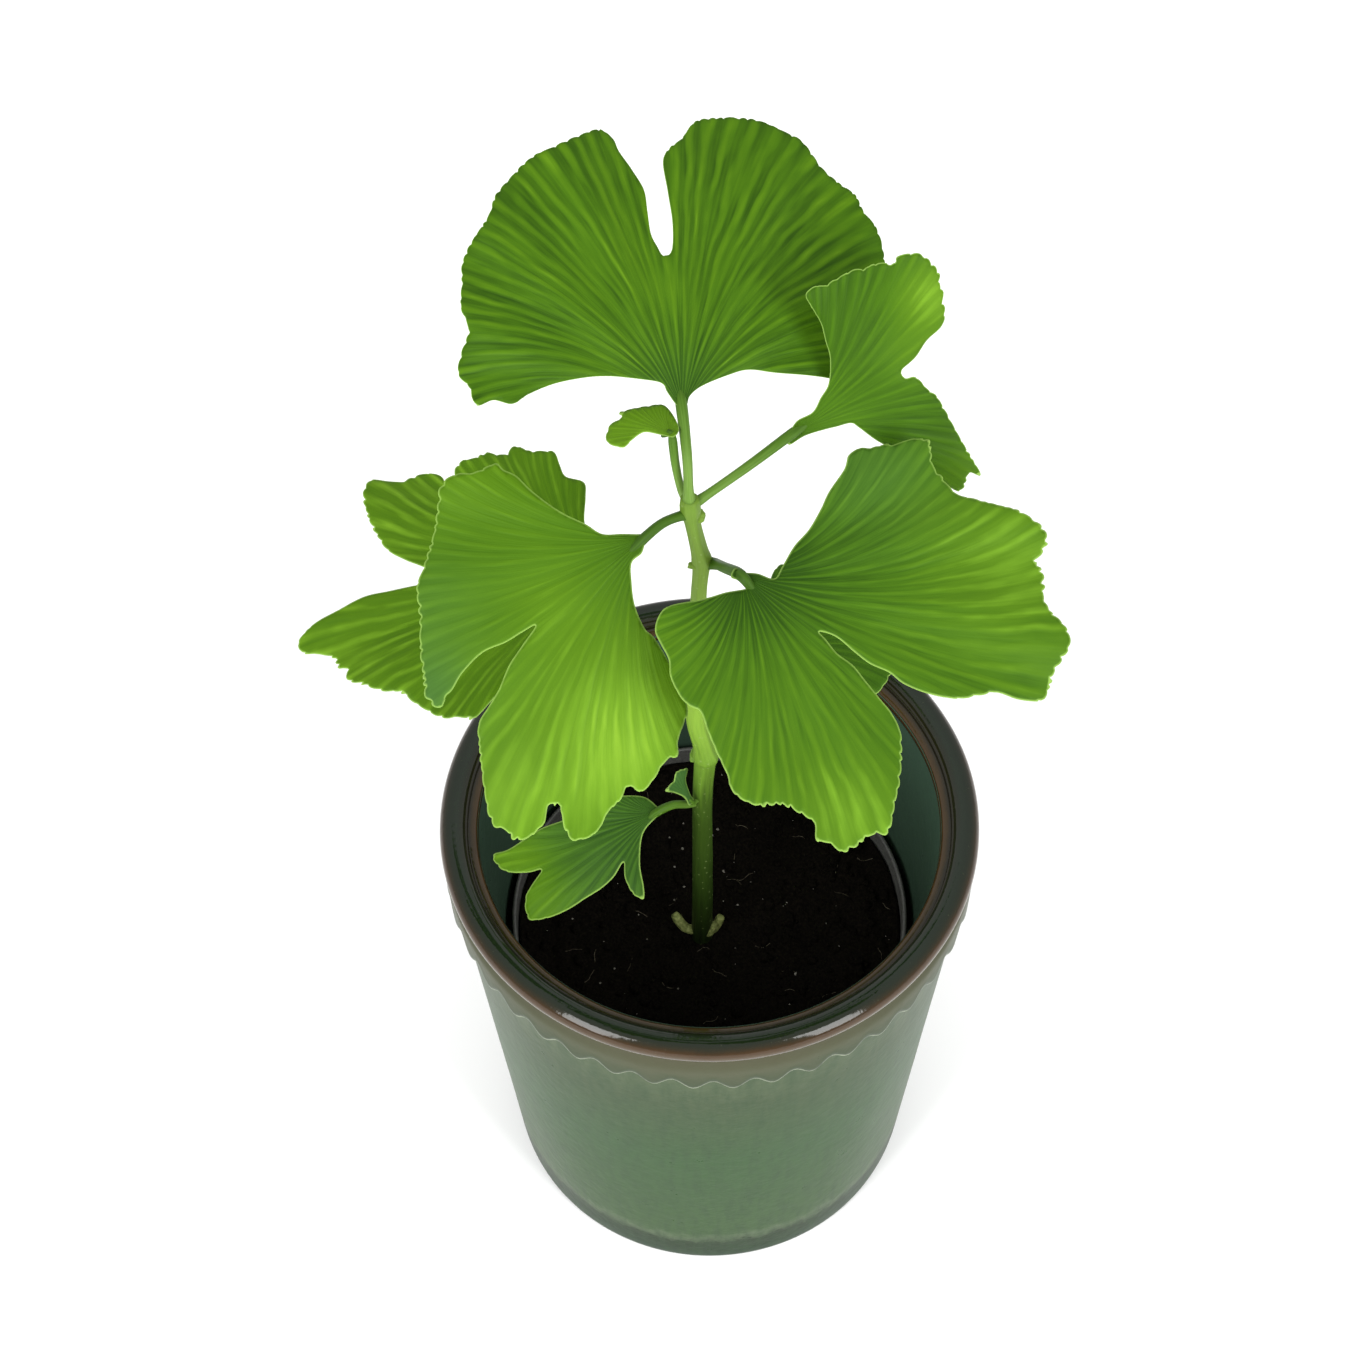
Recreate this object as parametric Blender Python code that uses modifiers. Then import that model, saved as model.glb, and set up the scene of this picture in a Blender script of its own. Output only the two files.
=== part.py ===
"""A young ginkgo in its nursery pot, standing inside a glazed cover pot.

Metres, +Z up. The origin is the centre of the cover pot's flat base, and the front is -Y.
"""

import math
import random

import bmesh
import bpy
from mathutils import Matrix, Vector, noise
from mathutils.geometry import delaunay_2d_cdt

MM = 0.001
GAP = 0.3

# Cover pot, in millimetres
POT_SEGMENTS = 84
LIP_ROLL_CENTRE = (63.9, 143.2)
LIP_ROLL_RADIUS = 3.6
LIP_BEAD_CENTRE = (60.0, 141.4)
LIP_BEAD_RADIUS = 2.1
BAND_TOP = (66.6, 137.5)
BAND_RADIUS = 66.9
BAND_BEND_Z = 134.0
BAND_LOW_Z = 125.8
BODY_TOP = (64.7, 125.8)
BODY_FOOT = (54.5, 6.0)
BASE_RADIUS = 52.6
INNER_TOP = (57.8, 138.9)
INNER_MIDDLE = (53.6, 97.0)
INNER_FOOT = (47.4, 13.0)
FLOOR_Z = 8.0
FLOOR_ROUNDING = 6.0
# The band's wavy hem: how many waves run round it, and a ring that cuts between its tongues, whose
# inner wall starts just outside the body and leans in behind the band
SCALLOPS = 42
SCALLOP_STEPS = 6
HEM_MIDDLE_Z = 128.0
HEM_WAVE = 1.9
HEM_RING_LOW = (64.9, 124.0)
HEM_RING_TOP_RADIUS = 64.15
HEM_RING_OUTER = 70.0

# Nursery pot, in millimetres
NURSERY_SEGMENTS = 48
NURSERY_BASE_Z = FLOOR_Z + GAP
NURSERY_BASE_RADIUS = 38.4
NURSERY_TOP_Z = 98.0
NURSERY_TOP_RADIUS = 51.6
COLLAR_HEIGHT = 9.0
COLLAR_LOW_Z = NURSERY_TOP_Z - COLLAR_HEIGHT
COLLAR_STEP = 1.6
NURSERY_WALL = 1.2
NURSERY_FLOOR_Z = NURSERY_BASE_Z + 2.2
DRAIN_HOLES = 6
DRAIN_RADIUS = 3.5
DRAIN_CIRCLE = 24.0

# Soil, in millimetres
SOIL_TOP_Z = 93.0
SOIL_RADIUS = NURSERY_TOP_RADIUS - NURSERY_WALL - 2 * GAP
SOIL_RELIEF = 1.1
SOIL_RINGS = 7
SOIL_CALM_RADIUS = 7.0
STEM_HOLE_FLOOR_Z = 64.0

# Stem, in millimetres: x, y, z and radius, from the root's tip to the top
STEM_ROUTE = (
    (-2.0, -4.2, 66.0, 1.2),
    (-2.0, -4.2, 74.0, 2.4),
    (-2.0, -4.3, 93.0, 2.75),
    (-1.8, -4.6, 120.0, 2.6),
    (-1.7, -5.0, 161.0, 2.45),
    (-1.1, -5.3, 178.0, 2.6),
    (-0.9, -5.4, 182.0, 3.1),
    (-1.6, -5.5, 187.0, 2.5),
    (-3.4, -5.6, 201.0, 2.2),
    (-2.9, -5.9, 232.0, 1.9),
    (-2.4, -6.0, 250.0, 1.8),
    (-1.9, -6.1, 259.0, 1.9),
    (-1.7, -6.1, 263.0, 2.3),
    (-2.3, -6.1, 267.5, 1.9),
    (-3.6, -6.1, 277.0, 1.8),
    (-4.1, -6.1, 282.0, 2.3),
    (-4.3, -6.0, 285.0, 2.0),
)
STEM_STEP = 6.0
# Short dead basal shoots: heading, outward reach, rise and radius
BASAL_SHOOTS = ((148, 8.4, 5.5, 1.3), (39, 6.4, 5.0, 1.2), (32, 3.6, 5.0, 1.1))
SHOOTS_AHEAD = 2.8
# Buds and leaf scars on the stem: heading, height and radius
STEM_BUDS = ((10, 279.0, 1.5), (205, 262.0, 1.3), (170, 181.0, 1.6), (30, 199.0, 1.4))

# Leaves, in millimetres and degrees
BLADE_THICKNESS = 0.75
MARGIN_STEP = 2.6
VEIN_GRID = 5.2
TOOTH = 0.35
RIB_LENGTH = 9.0
RIB_DROP = 1.0

# Each leaf: the blade's base point, its heading, rise and roll, its reach, how it bends, where its
# stalk leaves the stem and its outline as (right, forward) points that go round the blade.
LEAVES = {
    "leaf_top": dict(
        base=(-5.5, 7.0, 299.3), heading=96, rise=30, roll=16, reach=60, sag=6, cup=-3, pleat=0.8, pleats=15,
        stalk=((-4.4, -5.6, 286.4), (-4.6, -1.8, 293.6)), stalk_radii=(0.9, 1.3),
        outline=(
            (-1, 1), (-3, 4), (-4, 6), (-8, 7), (-15, 8), (-21, 8), (-28, 7), (-34, 5), (-38, 3),
            (-42, 4), (-46, 3), (-47, 7), (-49, 10), (-48, 14), (-46, 19), (-47, 23), (-47, 25),
            (-46, 29), (-45, 34), (-42, 39), (-38, 44), (-36, 48), (-31, 53), (-26, 57), (-21, 59),
            (-16, 61), (-10, 63), (-7, 61), (-6, 58), (-4, 54), (-2, 49), (-2, 44), (-2, 39), (-1, 36),
            (0, 34), (2, 35), (3, 41), (3, 48), (3, 55), (5, 58), (8, 60), (12, 64), (17, 65), (22, 65),
            (27, 64), (32, 61), (36, 58), (39, 53), (43, 49), (46, 46), (47, 42), (49, 38), (50, 33),
            (50, 30), (50, 24), (47, 16), (43, 10), (39, 6), (36, 4), (34, 5), (29, 6), (22, 7), (16, 8),
            (11, 7), (5, 5), (2, 3), (1, 1),
        ),
    ),
    "leaf_upper_right": dict(
        base=(19.2, 9.8, 288.1), heading=22, rise=20, roll=60, reach=50, sag=0, cup=2, pleat=0.7, pleats=9,
        stalk=((-1.6, -4.9, 283.6), (9.0, 2.0, 286.4)), stalk_radii=(0.9, 1.2),
        outline=(
            (0, -2), (-2, 1), (-2, 5), (-4, 8), (-6, 11), (-11, 14), (-15, 15), (-19, 16), (-23, 16),
            (-26, 16), (-27, 17), (-27, 19), (-26, 21), (-26, 25), (-26, 27), (-25, 30), (-25, 32),
            (-24, 34), (-23, 36), (-24, 37), (-23, 40), (-21, 42), (-17, 43), (-15, 43), (-13, 42),
            (-11, 42), (-9, 41), (-6, 40), (-4, 38), (-3, 34), (-1, 30), (0, 26), (2, 26), (3, 28),
            (7, 29), (10, 30), (14, 30), (20, 30), (25, 30), (32, 30), (30, 28), (32, 26), (33, 24),
            (29, 22), (23, 20), (17, 17), (12, 14), (7, 12), (5, 11), (4, 8), (3, 5), (2, 1), (2, -3),
        ),
    ),
    "leaf_curled": dict(
        base=(-8.0, 2.0, 298.0), heading=160, rise=-10, roll=0, reach=15, sag=0, cup=0, pleat=0.3, pleats=5,
        stalk=((-5.9, -3.4, 284.4), (-7.2, -1.0, 291.0)), stalk_radii=(0.8, 1.0),
        outline=(
            (7, 4), (6, 8), (3, 13), (2, 12), (-1, 14), (-5, 13), (-6, 9), (-4, 8), (-1, 6), (-1, 2), (-1, -1),
            (2, -1),
        ),
    ),
    "leaf_left_front": dict(
        base=(-13.9, -13.9, 282.2), heading=222, rise=-16, roll=-20, reach=60, sag=6, cup=4, pleat=0.7,
        pleats=13, stalk=((-7.1, -7.9, 281.2), (-10.4, -10.6, 282.4)), stalk_radii=(1.0, 1.2),
        outline=(
            (0, -2), (1, 0), (4, 3), (7, 6), (11, 7), (17, 9), (24, 10), (29, 10), (32, 11), (34, 11),
            (35, 13), (36, 16), (38, 18), (39, 20), (39, 23), (36, 27), (33, 31), (29, 38), (27, 42),
            (22, 46), (18, 50), (13, 54), (9, 57), (6, 57), (5, 56), (6, 54), (6, 52), (7, 48), (7, 42),
            (5, 37), (4, 33), (3, 30), (2, 35), (1, 40), (-1, 45), (-2, 49), (-3, 53), (-6, 56),
            (-11, 60), (-15, 63), (-18, 65), (-21, 66), (-23, 65), (-26, 65), (-28, 62), (-28, 60),
            (-28, 58), (-26, 55), (-27, 54), (-27, 53), (-29, 54), (-32, 56), (-35, 56), (-37, 53),
            (-37, 50), (-36, 47), (-36, 43), (-35, 40), (-38, 39), (-38, 35), (-37, 31), (-38, 28),
            (-36, 26), (-34, 22), (-33, 20), (-30, 18), (-25, 16), (-17, 14), (-14, 14), (-9, 12),
            (-5, 9), (-2, 6), (-2, 3), (-1, 1), (0, -1),
        ),
    ),
    "leaf_right_front": dict(
        base=(6.5, -24.2, 282.2), heading=310, rise=-14, roll=8, reach=60, sag=5, cup=3, pleat=0.8, pleats=15,
        stalk=((1.4, -7.4, 263.0), (3.3, -15.3, 272.5)), stalk_radii=(1.1, 1.3),
        outline=(
            (0, -2), (-1, 0), (-3, 2), (-5, 5), (-8, 4), (-13, 2), (-18, 1), (-23, -1), (-27, -3),
            (-33, -5), (-36, -7), (-39, -7), (-40, -6), (-42, -5), (-44, -4), (-45, -3), (-48, -2),
            (-50, -1), (-52, 1), (-51, 3), (-49, 6), (-49, 9), (-49, 14), (-51, 17), (-54, 21), (-57, 25),
            (-58, 28), (-59, 31), (-58, 34), (-56, 35), (-53, 36), (-53, 38), (-51, 41), (-49, 43),
            (-48, 46), (-48, 49), (-48, 52), (-46, 55), (-43, 56), (-40, 57), (-37, 59), (-34, 60),
            (-30, 57), (-27, 53), (-23, 51), (-19, 49), (-15, 45), (-12, 40), (-11, 36), (-9, 32),
            (-8, 28), (-7, 23), (-5, 20), (-5, 22), (-5, 26), (-6, 30), (-6, 34), (-6, 39), (-6, 43),
            (-5, 47), (-2, 51), (2, 55), (7, 59), (11, 62), (14, 60), (17, 60), (21, 59), (22, 56),
            (24, 54), (22, 51), (23, 48), (25, 44), (29, 41), (31, 37), (31, 34), (30, 32), (29, 28),
            (28, 24), (27, 21), (26, 18), (27, 15), (27, 12), (26, 8), (24, 5), (23, 1), (22, -2),
            (19, -4), (16, -4), (10, -1), (5, 1), (1, 3), (1, 1), (2, -1),
        ),
    ),
    "leaf_back_left": dict(
        base=(-25.0, 13.0, 231.5), heading=186, rise=-4, roll=-8, reach=60, sag=6, cup=3, pleat=0.8, pleats=15,
        stalk=((-6.2, -4.4, 203.6), (-14.0, 3.0, 215.0)), stalk_radii=(1.0, 1.3),
        outline=(
            (0, -3), (2, 0), (8, 1), (14, 2), (21, 1), (25, 1), (27, 5), (30, 6), (34, 7), (35, 10), (36, 13),
            (38, 16), (36, 19), (37, 23), (36, 26), (36, 29), (33, 31), (26, 30), (20, 29), (22, 31), (28, 33),
            (33, 34), (35, 37), (35, 41), (34, 43), (35, 47), (36, 51), (33, 53), (29, 53), (24, 52), (17, 49),
            (13, 45), (10, 41), (7, 37), (5, 38), (5, 43), (5, 49), (5, 55), (3, 62), (1, 68), (-2, 72),
            (-5, 71), (-6, 68), (-8, 64), (-11, 63), (-12, 61), (-15, 61), (-17, 58), (-20, 53), (-21, 49),
            (-25, 45), (-29, 40), (-30, 36), (-31, 33), (-30, 31), (-25, 25), (-20, 17), (-13, 8), (-7, 3),
            (-2, -2),
        ),
    ),
    "leaf_low_left": dict(
        base=(-13.0, -12.0, 167.0), heading=214, rise=-22, roll=-10, reach=35, sag=5, cup=3, pleat=0.5,
        pleats=9, stalk=((-5.2, -6.9, 162.4), (-9.0, -9.6, 166.4)), stalk_radii=(0.9, 1.1),
        outline=(
            (1, -1), (5, 0), (9, 4), (11, 7), (12, 12), (14, 18), (17, 25), (19, 34), (21, 38), (19, 39),
            (15, 38), (11, 34), (9, 31), (8, 35), (7, 38), (5, 40), (2, 41), (-1, 37), (-3, 32), (-4, 27),
            (-5, 22), (-5, 18), (-4, 14), (-7, 16), (-11, 17), (-14, 16), (-12, 14), (-7, 11), (-2, 6),
            (-1, 1), (-1, -1),
        ),
    ),
    "leaf_low_bud": dict(
        base=(-4.9, -8.6, 167.0), heading=150, rise=62, roll=0, reach=10, sag=0, cup=-3, pleat=0.2, pleats=3,
        stalk=((-4.0, -8.1, 164.6), (-4.4, -8.4, 165.8)), stalk_radii=(0.5, 0.6),
        outline=((-1, -1), (-1, 2), (-3, 6), (-5, 9), (-1, 8), (1, 9), (4, 7), (2, 5), (1, 1), (1, -1)),
    ),
    "leaf_back_right": dict(
        base=(16.0, 8.0, 207.0), heading=30, rise=2, roll=8, reach=34, sag=3, cup=2, pleat=0.5, pleats=11,
        stalk=((1.1, -3.2, 202.4), (8.0, 2.0, 205.6)), stalk_radii=(0.9, 1.1),
        outline=(
            (-1, -1), (-4, 3), (-10, 6), (-16, 8), (-19, 12), (-18, 17), (-15, 22), (-10, 27), (-5, 30),
            (-1, 29), (0, 20), (2, 29), (8, 29), (14, 26), (18, 21), (21, 15), (20, 10), (15, 8), (9, 6),
            (4, 3), (1, -1),
        ),
    ),
}


def clear_scene():
    for thing in list(bpy.data.objects):
        bpy.data.objects.remove(thing, do_unlink=True)


def new_collection(name):
    group = bpy.data.collections.new(name)
    bpy.context.scene.collection.children.link(group)
    return group


def material(name, colour, roughness):
    finish = bpy.data.materials.new(name)
    finish.use_nodes = True
    shader = finish.node_tree.nodes["Principled BSDF"]
    shader.inputs["Base Color"].default_value = (*colour, 1.0)
    shader.inputs["Roughness"].default_value = roughness
    shader.inputs["Metallic"].default_value = 0.0
    finish.diffuse_color = (*colour, 1.0)
    return finish


def mesh_object(name, mesh, group, finish=None):
    thing = bpy.data.objects.new(name, mesh)
    group.objects.link(thing)
    if finish:
        mesh.materials.clear()
        mesh.materials.append(finish)
    return thing


def apply_modifiers(thing):
    """Put what the modifiers make into the object's own mesh."""
    bpy.context.view_layer.update()
    graph = bpy.context.evaluated_depsgraph_get()
    made = bpy.data.meshes.new_from_object(thing.evaluated_get(graph))
    thing.modifiers.clear()
    thing.data = made


def shade(thing, sharp_degrees=40):
    thing.data.shade_smooth()
    thing.data.set_sharp_from_angle(angle=math.radians(sharp_degrees))


def arc(centre, radius, start, end, count):
    """Points on an arc, in degrees from the +X side."""
    steps = [math.radians(start + (end - start) * i / (count - 1)) for i in range(count)]
    return [(centre[0] + radius * math.cos(a), centre[1] + radius * math.sin(a)) for a in steps]


def turned(name, profile, segments, group, finish=None, closed=False):
    """A solid of revolution. The profile runs up the inside and down the outside."""
    mesh = bpy.data.meshes.new(name)
    points = [(r * MM, 0.0, z * MM) for r, z in profile]
    edges = [(i - 1, i) for i in range(0 if closed else 1, len(points))]
    if closed:
        edges[0] = (len(points) - 1, 0)
    mesh.from_pydata(points, edges, [])
    thing = mesh_object(name, mesh, group, finish)
    spin = thing.modifiers.new("turn", "SCREW")
    spin.steps = segments
    spin.render_steps = segments
    spin.use_merge_vertices = True
    spin.merge_threshold = 0.00001
    apply_modifiers(thing)
    return thing


def cylinder(name, radius, low, high, sides, group):
    """An upright cylinder on the Z axis, in millimetres."""
    shape = bmesh.new()
    bmesh.ops.create_cone(
        shape, cap_ends=True, segments=sides, radius1=radius * MM, radius2=radius * MM, depth=(high - low) * MM
    )
    bmesh.ops.translate(shape, verts=shape.verts, vec=(0, 0, (high + low) / 2 * MM))
    mesh = bpy.data.meshes.new(name)
    shape.to_mesh(mesh)
    shape.free()
    return mesh_object(name, mesh, group)


def cut(thing, cutters, group):
    """Take the cutters out of the object, and keep them as hidden guides."""
    tools = bpy.data.collections.new("cutters of " + thing.name)
    group.children.link(tools)
    for cutter in cutters:
        tools.objects.link(cutter)
        cutter.hide_render = True
        cutter.display_type = "WIRE"
    saw = thing.modifiers.new("cut", "BOOLEAN")
    saw.operation = "DIFFERENCE"
    saw.operand_type = "COLLECTION"
    saw.collection = tools
    saw.solver = "EXACT"


def fuse(thing, pieces):
    """Join the pieces to the object by one union, then drop them."""
    near = new_collection("pieces of " + thing.name)
    for piece in pieces:
        near.objects.link(piece)
    weld = thing.modifiers.new("fuse", "BOOLEAN")
    weld.operation = "UNION"
    weld.operand_type = "COLLECTION"
    weld.collection = near
    weld.solver = "EXACT"
    apply_modifiers(thing)
    for piece in pieces:
        bpy.data.objects.remove(piece, do_unlink=True)
    bpy.data.collections.remove(near)


def smooth_route(points, step, closed=False):
    """Points about one step apart on a smooth curve through the given ones, of any dimension."""
    count = len(points)
    made = []
    for i in range(count if closed else count - 1):
        four = [points[(i + k) % count if closed else min(max(i + k, 0), count - 1)] for k in (-1, 0, 1, 2)]
        a, b, c, d = (Vector(p) for p in four)
        pieces = max(1, round((c - b).length / step))
        for j in range(pieces):
            t = j / pieces
            made.append(
                0.5 * (2 * b + (c - a) * t + (2 * a - 5 * b + 4 * c - d) * t**2 + (3 * b - a - 3 * c + d) * t**3)
            )
    if not closed:
        made.append(Vector(points[-1]))
    return made


def tube(name, route, radii, group, bevel=2):
    """A round tube along a route in millimetres, with a radius at each point, as a closed mesh."""
    data = bpy.data.curves.new(name, "CURVE")
    data.dimensions = "3D"
    data.bevel_depth = MM
    data.bevel_resolution = bevel
    data.use_fill_caps = True
    spline = data.splines.new("POLY")
    spline.points.add(len(route) - 1)
    for point, place, radius in zip(spline.points, route, radii):
        point.co = (place[0] * MM, place[1] * MM, place[2] * MM, 1.0)
        point.radius = radius
    drawn = bpy.data.objects.new(name + " guide", data)
    group.objects.link(drawn)
    bpy.context.view_layer.update()
    graph = bpy.context.evaluated_depsgraph_get()
    mesh = bpy.data.meshes.new_from_object(drawn.evaluated_get(graph))
    bpy.data.objects.remove(drawn, do_unlink=True)
    shape = bmesh.new()
    shape.from_mesh(mesh)
    bmesh.ops.remove_doubles(shape, verts=shape.verts, dist=0.000001)
    shape.to_mesh(mesh)
    shape.free()
    return mesh_object(name, mesh, group)


def ball(name, place, radius, group):
    shape = bmesh.new()
    bmesh.ops.create_icosphere(shape, subdivisions=2, radius=radius * MM)
    bmesh.ops.translate(shape, verts=shape.verts, vec=Vector(place) * MM)
    mesh = bpy.data.meshes.new(name)
    shape.to_mesh(mesh)
    shape.free()
    return mesh_object(name, mesh, group)


def cover_pot_profile():
    foot_radius = INNER_FOOT[0]
    inside = [(0, FLOOR_Z), (foot_radius - FLOOR_ROUNDING, FLOOR_Z), (foot_radius - 1.5, FLOOR_Z + 1.5)]
    inside += [INNER_FOOT, INNER_MIDDLE, INNER_TOP]
    lip = arc(LIP_BEAD_CENTRE, LIP_BEAD_RADIUS, 180, 60, 4)
    lip += arc(LIP_ROLL_CENTRE, LIP_ROLL_RADIUS, 150, -50, 7)
    band = [BAND_TOP, (BAND_RADIUS, BAND_BEND_Z)]
    band += [(BAND_RADIUS, BAND_LOW_Z + 1.0), (BAND_RADIUS - 0.7, BAND_LOW_Z)]
    foot = [BODY_TOP, BODY_FOOT, (BODY_FOOT[0] - 0.7, 2.0), (BASE_RADIUS, 0), (0, 0)]
    return inside + lip + band + foot


def hem_ring(group):
    """A ring whose wavy top cuts the band's lower edge into scallops, with a crest at the front."""
    inner_radius, low = HEM_RING_LOW
    outline = [(HEM_RING_OUTER, HEM_MIDDLE_Z), (HEM_RING_OUTER, low), (inner_radius, low)]
    outline.append((HEM_RING_TOP_RADIUS, HEM_MIDDLE_Z))
    ring = turned("hem ring", outline, SCALLOPS * SCALLOP_STEPS, group, closed=True)
    front = -math.pi / 2
    for vertex in ring.data.vertices:
        if vertex.co.z > (low + HEM_MIDDLE_Z) / 2 * MM:
            angle = math.atan2(vertex.co.y, vertex.co.x)
            vertex.co.z += HEM_WAVE * math.cos(SCALLOPS * (angle - front)) * MM
    return ring


def build_cover_pot(parts, guides):
    finish = material("celadon glaze", (0.14, 0.24, 0.15), 0.15)
    pot = turned("cover_pot", cover_pot_profile(), POT_SEGMENTS, parts, finish)
    cut(pot, [hem_ring(guides)], guides)
    shade(pot)


def nursery_profile():
    """The wall has a stepped collar at the top, and the floor stands on a ring."""
    top = NURSERY_TOP_RADIUS
    wall = NURSERY_WALL
    neck = top - COLLAR_STEP
    foot = NURSERY_BASE_RADIUS
    inside = [(0, NURSERY_FLOOR_Z), (foot - 2.2, NURSERY_FLOOR_Z), (neck - wall, COLLAR_LOW_Z - 1.5)]
    inside += [(top - wall - 0.2, COLLAR_LOW_Z), (top - wall, NURSERY_TOP_Z - 0.4)]
    rim = [(top - wall / 2, NURSERY_TOP_Z), (top, NURSERY_TOP_Z - 0.5)]
    outside = [(top - 0.2, COLLAR_LOW_Z - 0.9), (neck, COLLAR_LOW_Z - 1.4)]
    outside += [(foot, NURSERY_BASE_Z + 1.2), (foot - 1, NURSERY_BASE_Z)]
    base = [(foot - 7, NURSERY_BASE_Z), (foot - 8, NURSERY_BASE_Z + 1)]
    return inside + rim + outside + base + [(0, NURSERY_BASE_Z + 1)]


def build_nursery_pot(parts, guides):
    finish = material("black plastic", (0.012, 0.012, 0.013), 0.45)
    pot = turned("nursery_pot", nursery_profile(), NURSERY_SEGMENTS, parts, finish)
    drills = []
    for i in range(DRAIN_HOLES):
        angle = 2 * math.pi * i / DRAIN_HOLES
        drill = cylinder("drain", DRAIN_RADIUS, NURSERY_BASE_Z - 1, NURSERY_BASE_Z + 4, 12, guides)
        drill.location = (DRAIN_CIRCLE * MM * math.cos(angle), DRAIN_CIRCLE * MM * math.sin(angle), 0)
        drills.append(drill)
    cut(pot, drills, guides)
    shade(pot)


def soil_profile():
    """The soil keeps a small gap to the nursery pot all round."""
    edge = SOIL_RADIUS
    neck = edge - COLLAR_STEP + 0.1
    floor = NURSERY_FLOOR_Z + GAP
    top = [(edge * i / SOIL_RINGS, SOIL_TOP_Z) for i in range(SOIL_RINGS)]
    side = [(edge, SOIL_TOP_Z - 0.8), (edge, COLLAR_LOW_Z + 0.6), (neck, COLLAR_LOW_Z - 1.0)]
    return top + side + [(NURSERY_BASE_RADIUS - 2.8, floor + 0.3), (0, floor)]


def soil_height(x, y):
    """Clods, as two sizes of lump, calmed round the stem."""
    lumps = noise.noise(Vector((x * 0.11, y * 0.11, 3.7))) + 0.5 * noise.noise(Vector((x * 0.3, y * 0.3, 8.1)))
    stem_x, stem_y = STEM_ROUTE[2][:2]
    away = math.hypot(x - stem_x, y - stem_y)
    calm = min(1.0, max(0.0, away / SOIL_CALM_RADIUS - 1.0))
    return SOIL_RELIEF * lumps * calm


def build_soil(parts, guides):
    finish = material("potting soil", (0.016, 0.012, 0.009), 0.95)
    soil = turned("soil", soil_profile(), NURSERY_SEGMENTS, parts, finish)
    for vertex in soil.data.vertices:
        place = vertex.co
        if place.z > (SOIL_TOP_Z - 0.5) * MM and math.hypot(place.x, place.y) < 0.95 * SOIL_RADIUS * MM:
            place.z += soil_height(place.x / MM, place.y / MM) * MM
    root_x, root_y, _, root_radius = STEM_ROUTE[2]
    drill = cylinder("stem hole", root_radius + 2 * GAP, STEM_HOLE_FLOOR_Z, SOIL_TOP_Z + 8, 16, guides)
    drill.location = (root_x * MM, root_y * MM, 0)
    cut(soil, [drill], guides)
    shade(soil)


def stem_at(height):
    """The stem's centre and radius at a height, in millimetres."""
    for low, high in zip(STEM_ROUTE[:-1], STEM_ROUTE[1:]):
        if height <= high[2]:
            share = (height - low[2]) / (high[2] - low[2])
            x, y, _, radius = (a + (b - a) * share for a, b in zip(low, high))
            return Vector((x, y, height)), radius
    return Vector(STEM_ROUTE[-1][:3]), STEM_ROUTE[-1][3]


def basal_shoots(parts):
    """Stubs of cut shoots, rising outward from the foot of the stem."""
    stubs = []
    for heading, reach, rise, radius in BASAL_SHOOTS:
        centre, _ = stem_at(SOIL_TOP_Z + 2.6)
        away = Vector((math.cos(math.radians(heading)), math.sin(math.radians(heading)), 0))
        foot = centre - Vector((0, SHOOTS_AHEAD, 0))
        bends = [centre, foot + away * reach * 0.6 + Vector((0, 0, rise * 0.3)), foot + away * reach]
        bends[2].z += rise
        route = smooth_route(bends, 1.6)
        stubs.append(tube("stub", route, [radius] * len(route), parts))
    return stubs


def stem_buds(parts):
    buds = []
    for heading, height, radius in STEM_BUDS:
        centre, girth = stem_at(height)
        away = Vector((math.cos(math.radians(heading)), math.sin(math.radians(heading)), 0))
        buds.append(ball("bud", centre + away * (girth - radius * 0.25), radius, parts))
    return buds


def build_stem(parts):
    finish = material("green stem", (0.16, 0.30, 0.05), 0.45)
    route = smooth_route(STEM_ROUTE, STEM_STEP)
    stem = tube("stem", [p.xyz for p in route], [p.w for p in route], parts, bevel=4)
    fuse(stem, basal_shoots(parts) + stem_buds(parts))
    stem.data.materials.clear()
    stem.data.materials.append(finish)
    shade(stem, 60)


def toothed(outline, reach):
    """The outline with small teeth where it runs across the veins, out at the broad margin."""
    draw = random.Random(len(outline))
    made = []
    count = len(outline)
    for i, point in enumerate(outline):
        along = outline[(i + 1) % count] - outline[i - 1]
        across = Vector((along.y, -along.x))
        outward = point.normalized()
        broad = point.length > 0.55 * reach and abs(across.normalized().dot(outward)) > 0.6
        size = TOOTH * draw.uniform(0.4, 1.0) * (1 if i % 2 else -1) if broad else 0.0
        made.append(point + outward * size)
    return made


def inside_outline(point, outline, margin):
    """Whether a point lies inside the outline and clear of it by the margin."""
    within = False
    for a, b in zip(outline, outline[1:] + outline[:1]):
        edge = b - a
        share = min(1.0, max(0.0, (point - a).dot(edge) / edge.length_squared))
        if (a + edge * share - point).length < margin:
            return False
        if (a.y > point.y) != (b.y > point.y) and point.x < a.x + edge.x * (point.y - a.y) / edge.y:
            within = not within
    return within


def grid_points(outline, spacing):
    """A triangular grid of points that fills the outline."""
    xs = [p.x for p in outline]
    ys = [p.y for p in outline]
    rise = spacing * math.sqrt(0.75)
    found = []
    for row in range(math.ceil((max(ys) - min(ys)) / rise)):
        for column in range(math.ceil((max(xs) - min(xs)) / spacing) + 1):
            point = Vector((min(xs) + (column + 0.5 * (row % 2)) * spacing, min(ys) + (row + 0.5) * rise))
            if inside_outline(point, outline, spacing * 0.4):
                found.append(point)
    return found


def blade_height(leaf, x, y):
    """How far the blade stands off its plane: sagging tip, cupped sides and pleats along the veins."""
    reach = leaf["reach"]
    angle = math.atan2(x, y)
    share = min(1.3, math.hypot(x, y) / reach)
    sag = -leaf["sag"] * (y / reach) * abs(y / reach)
    cup = -leaf["cup"] * (x / reach) ** 2
    return sag + cup + leaf["pleat"] * math.sin(leaf["pleats"] * angle) * share**1.5


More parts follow.
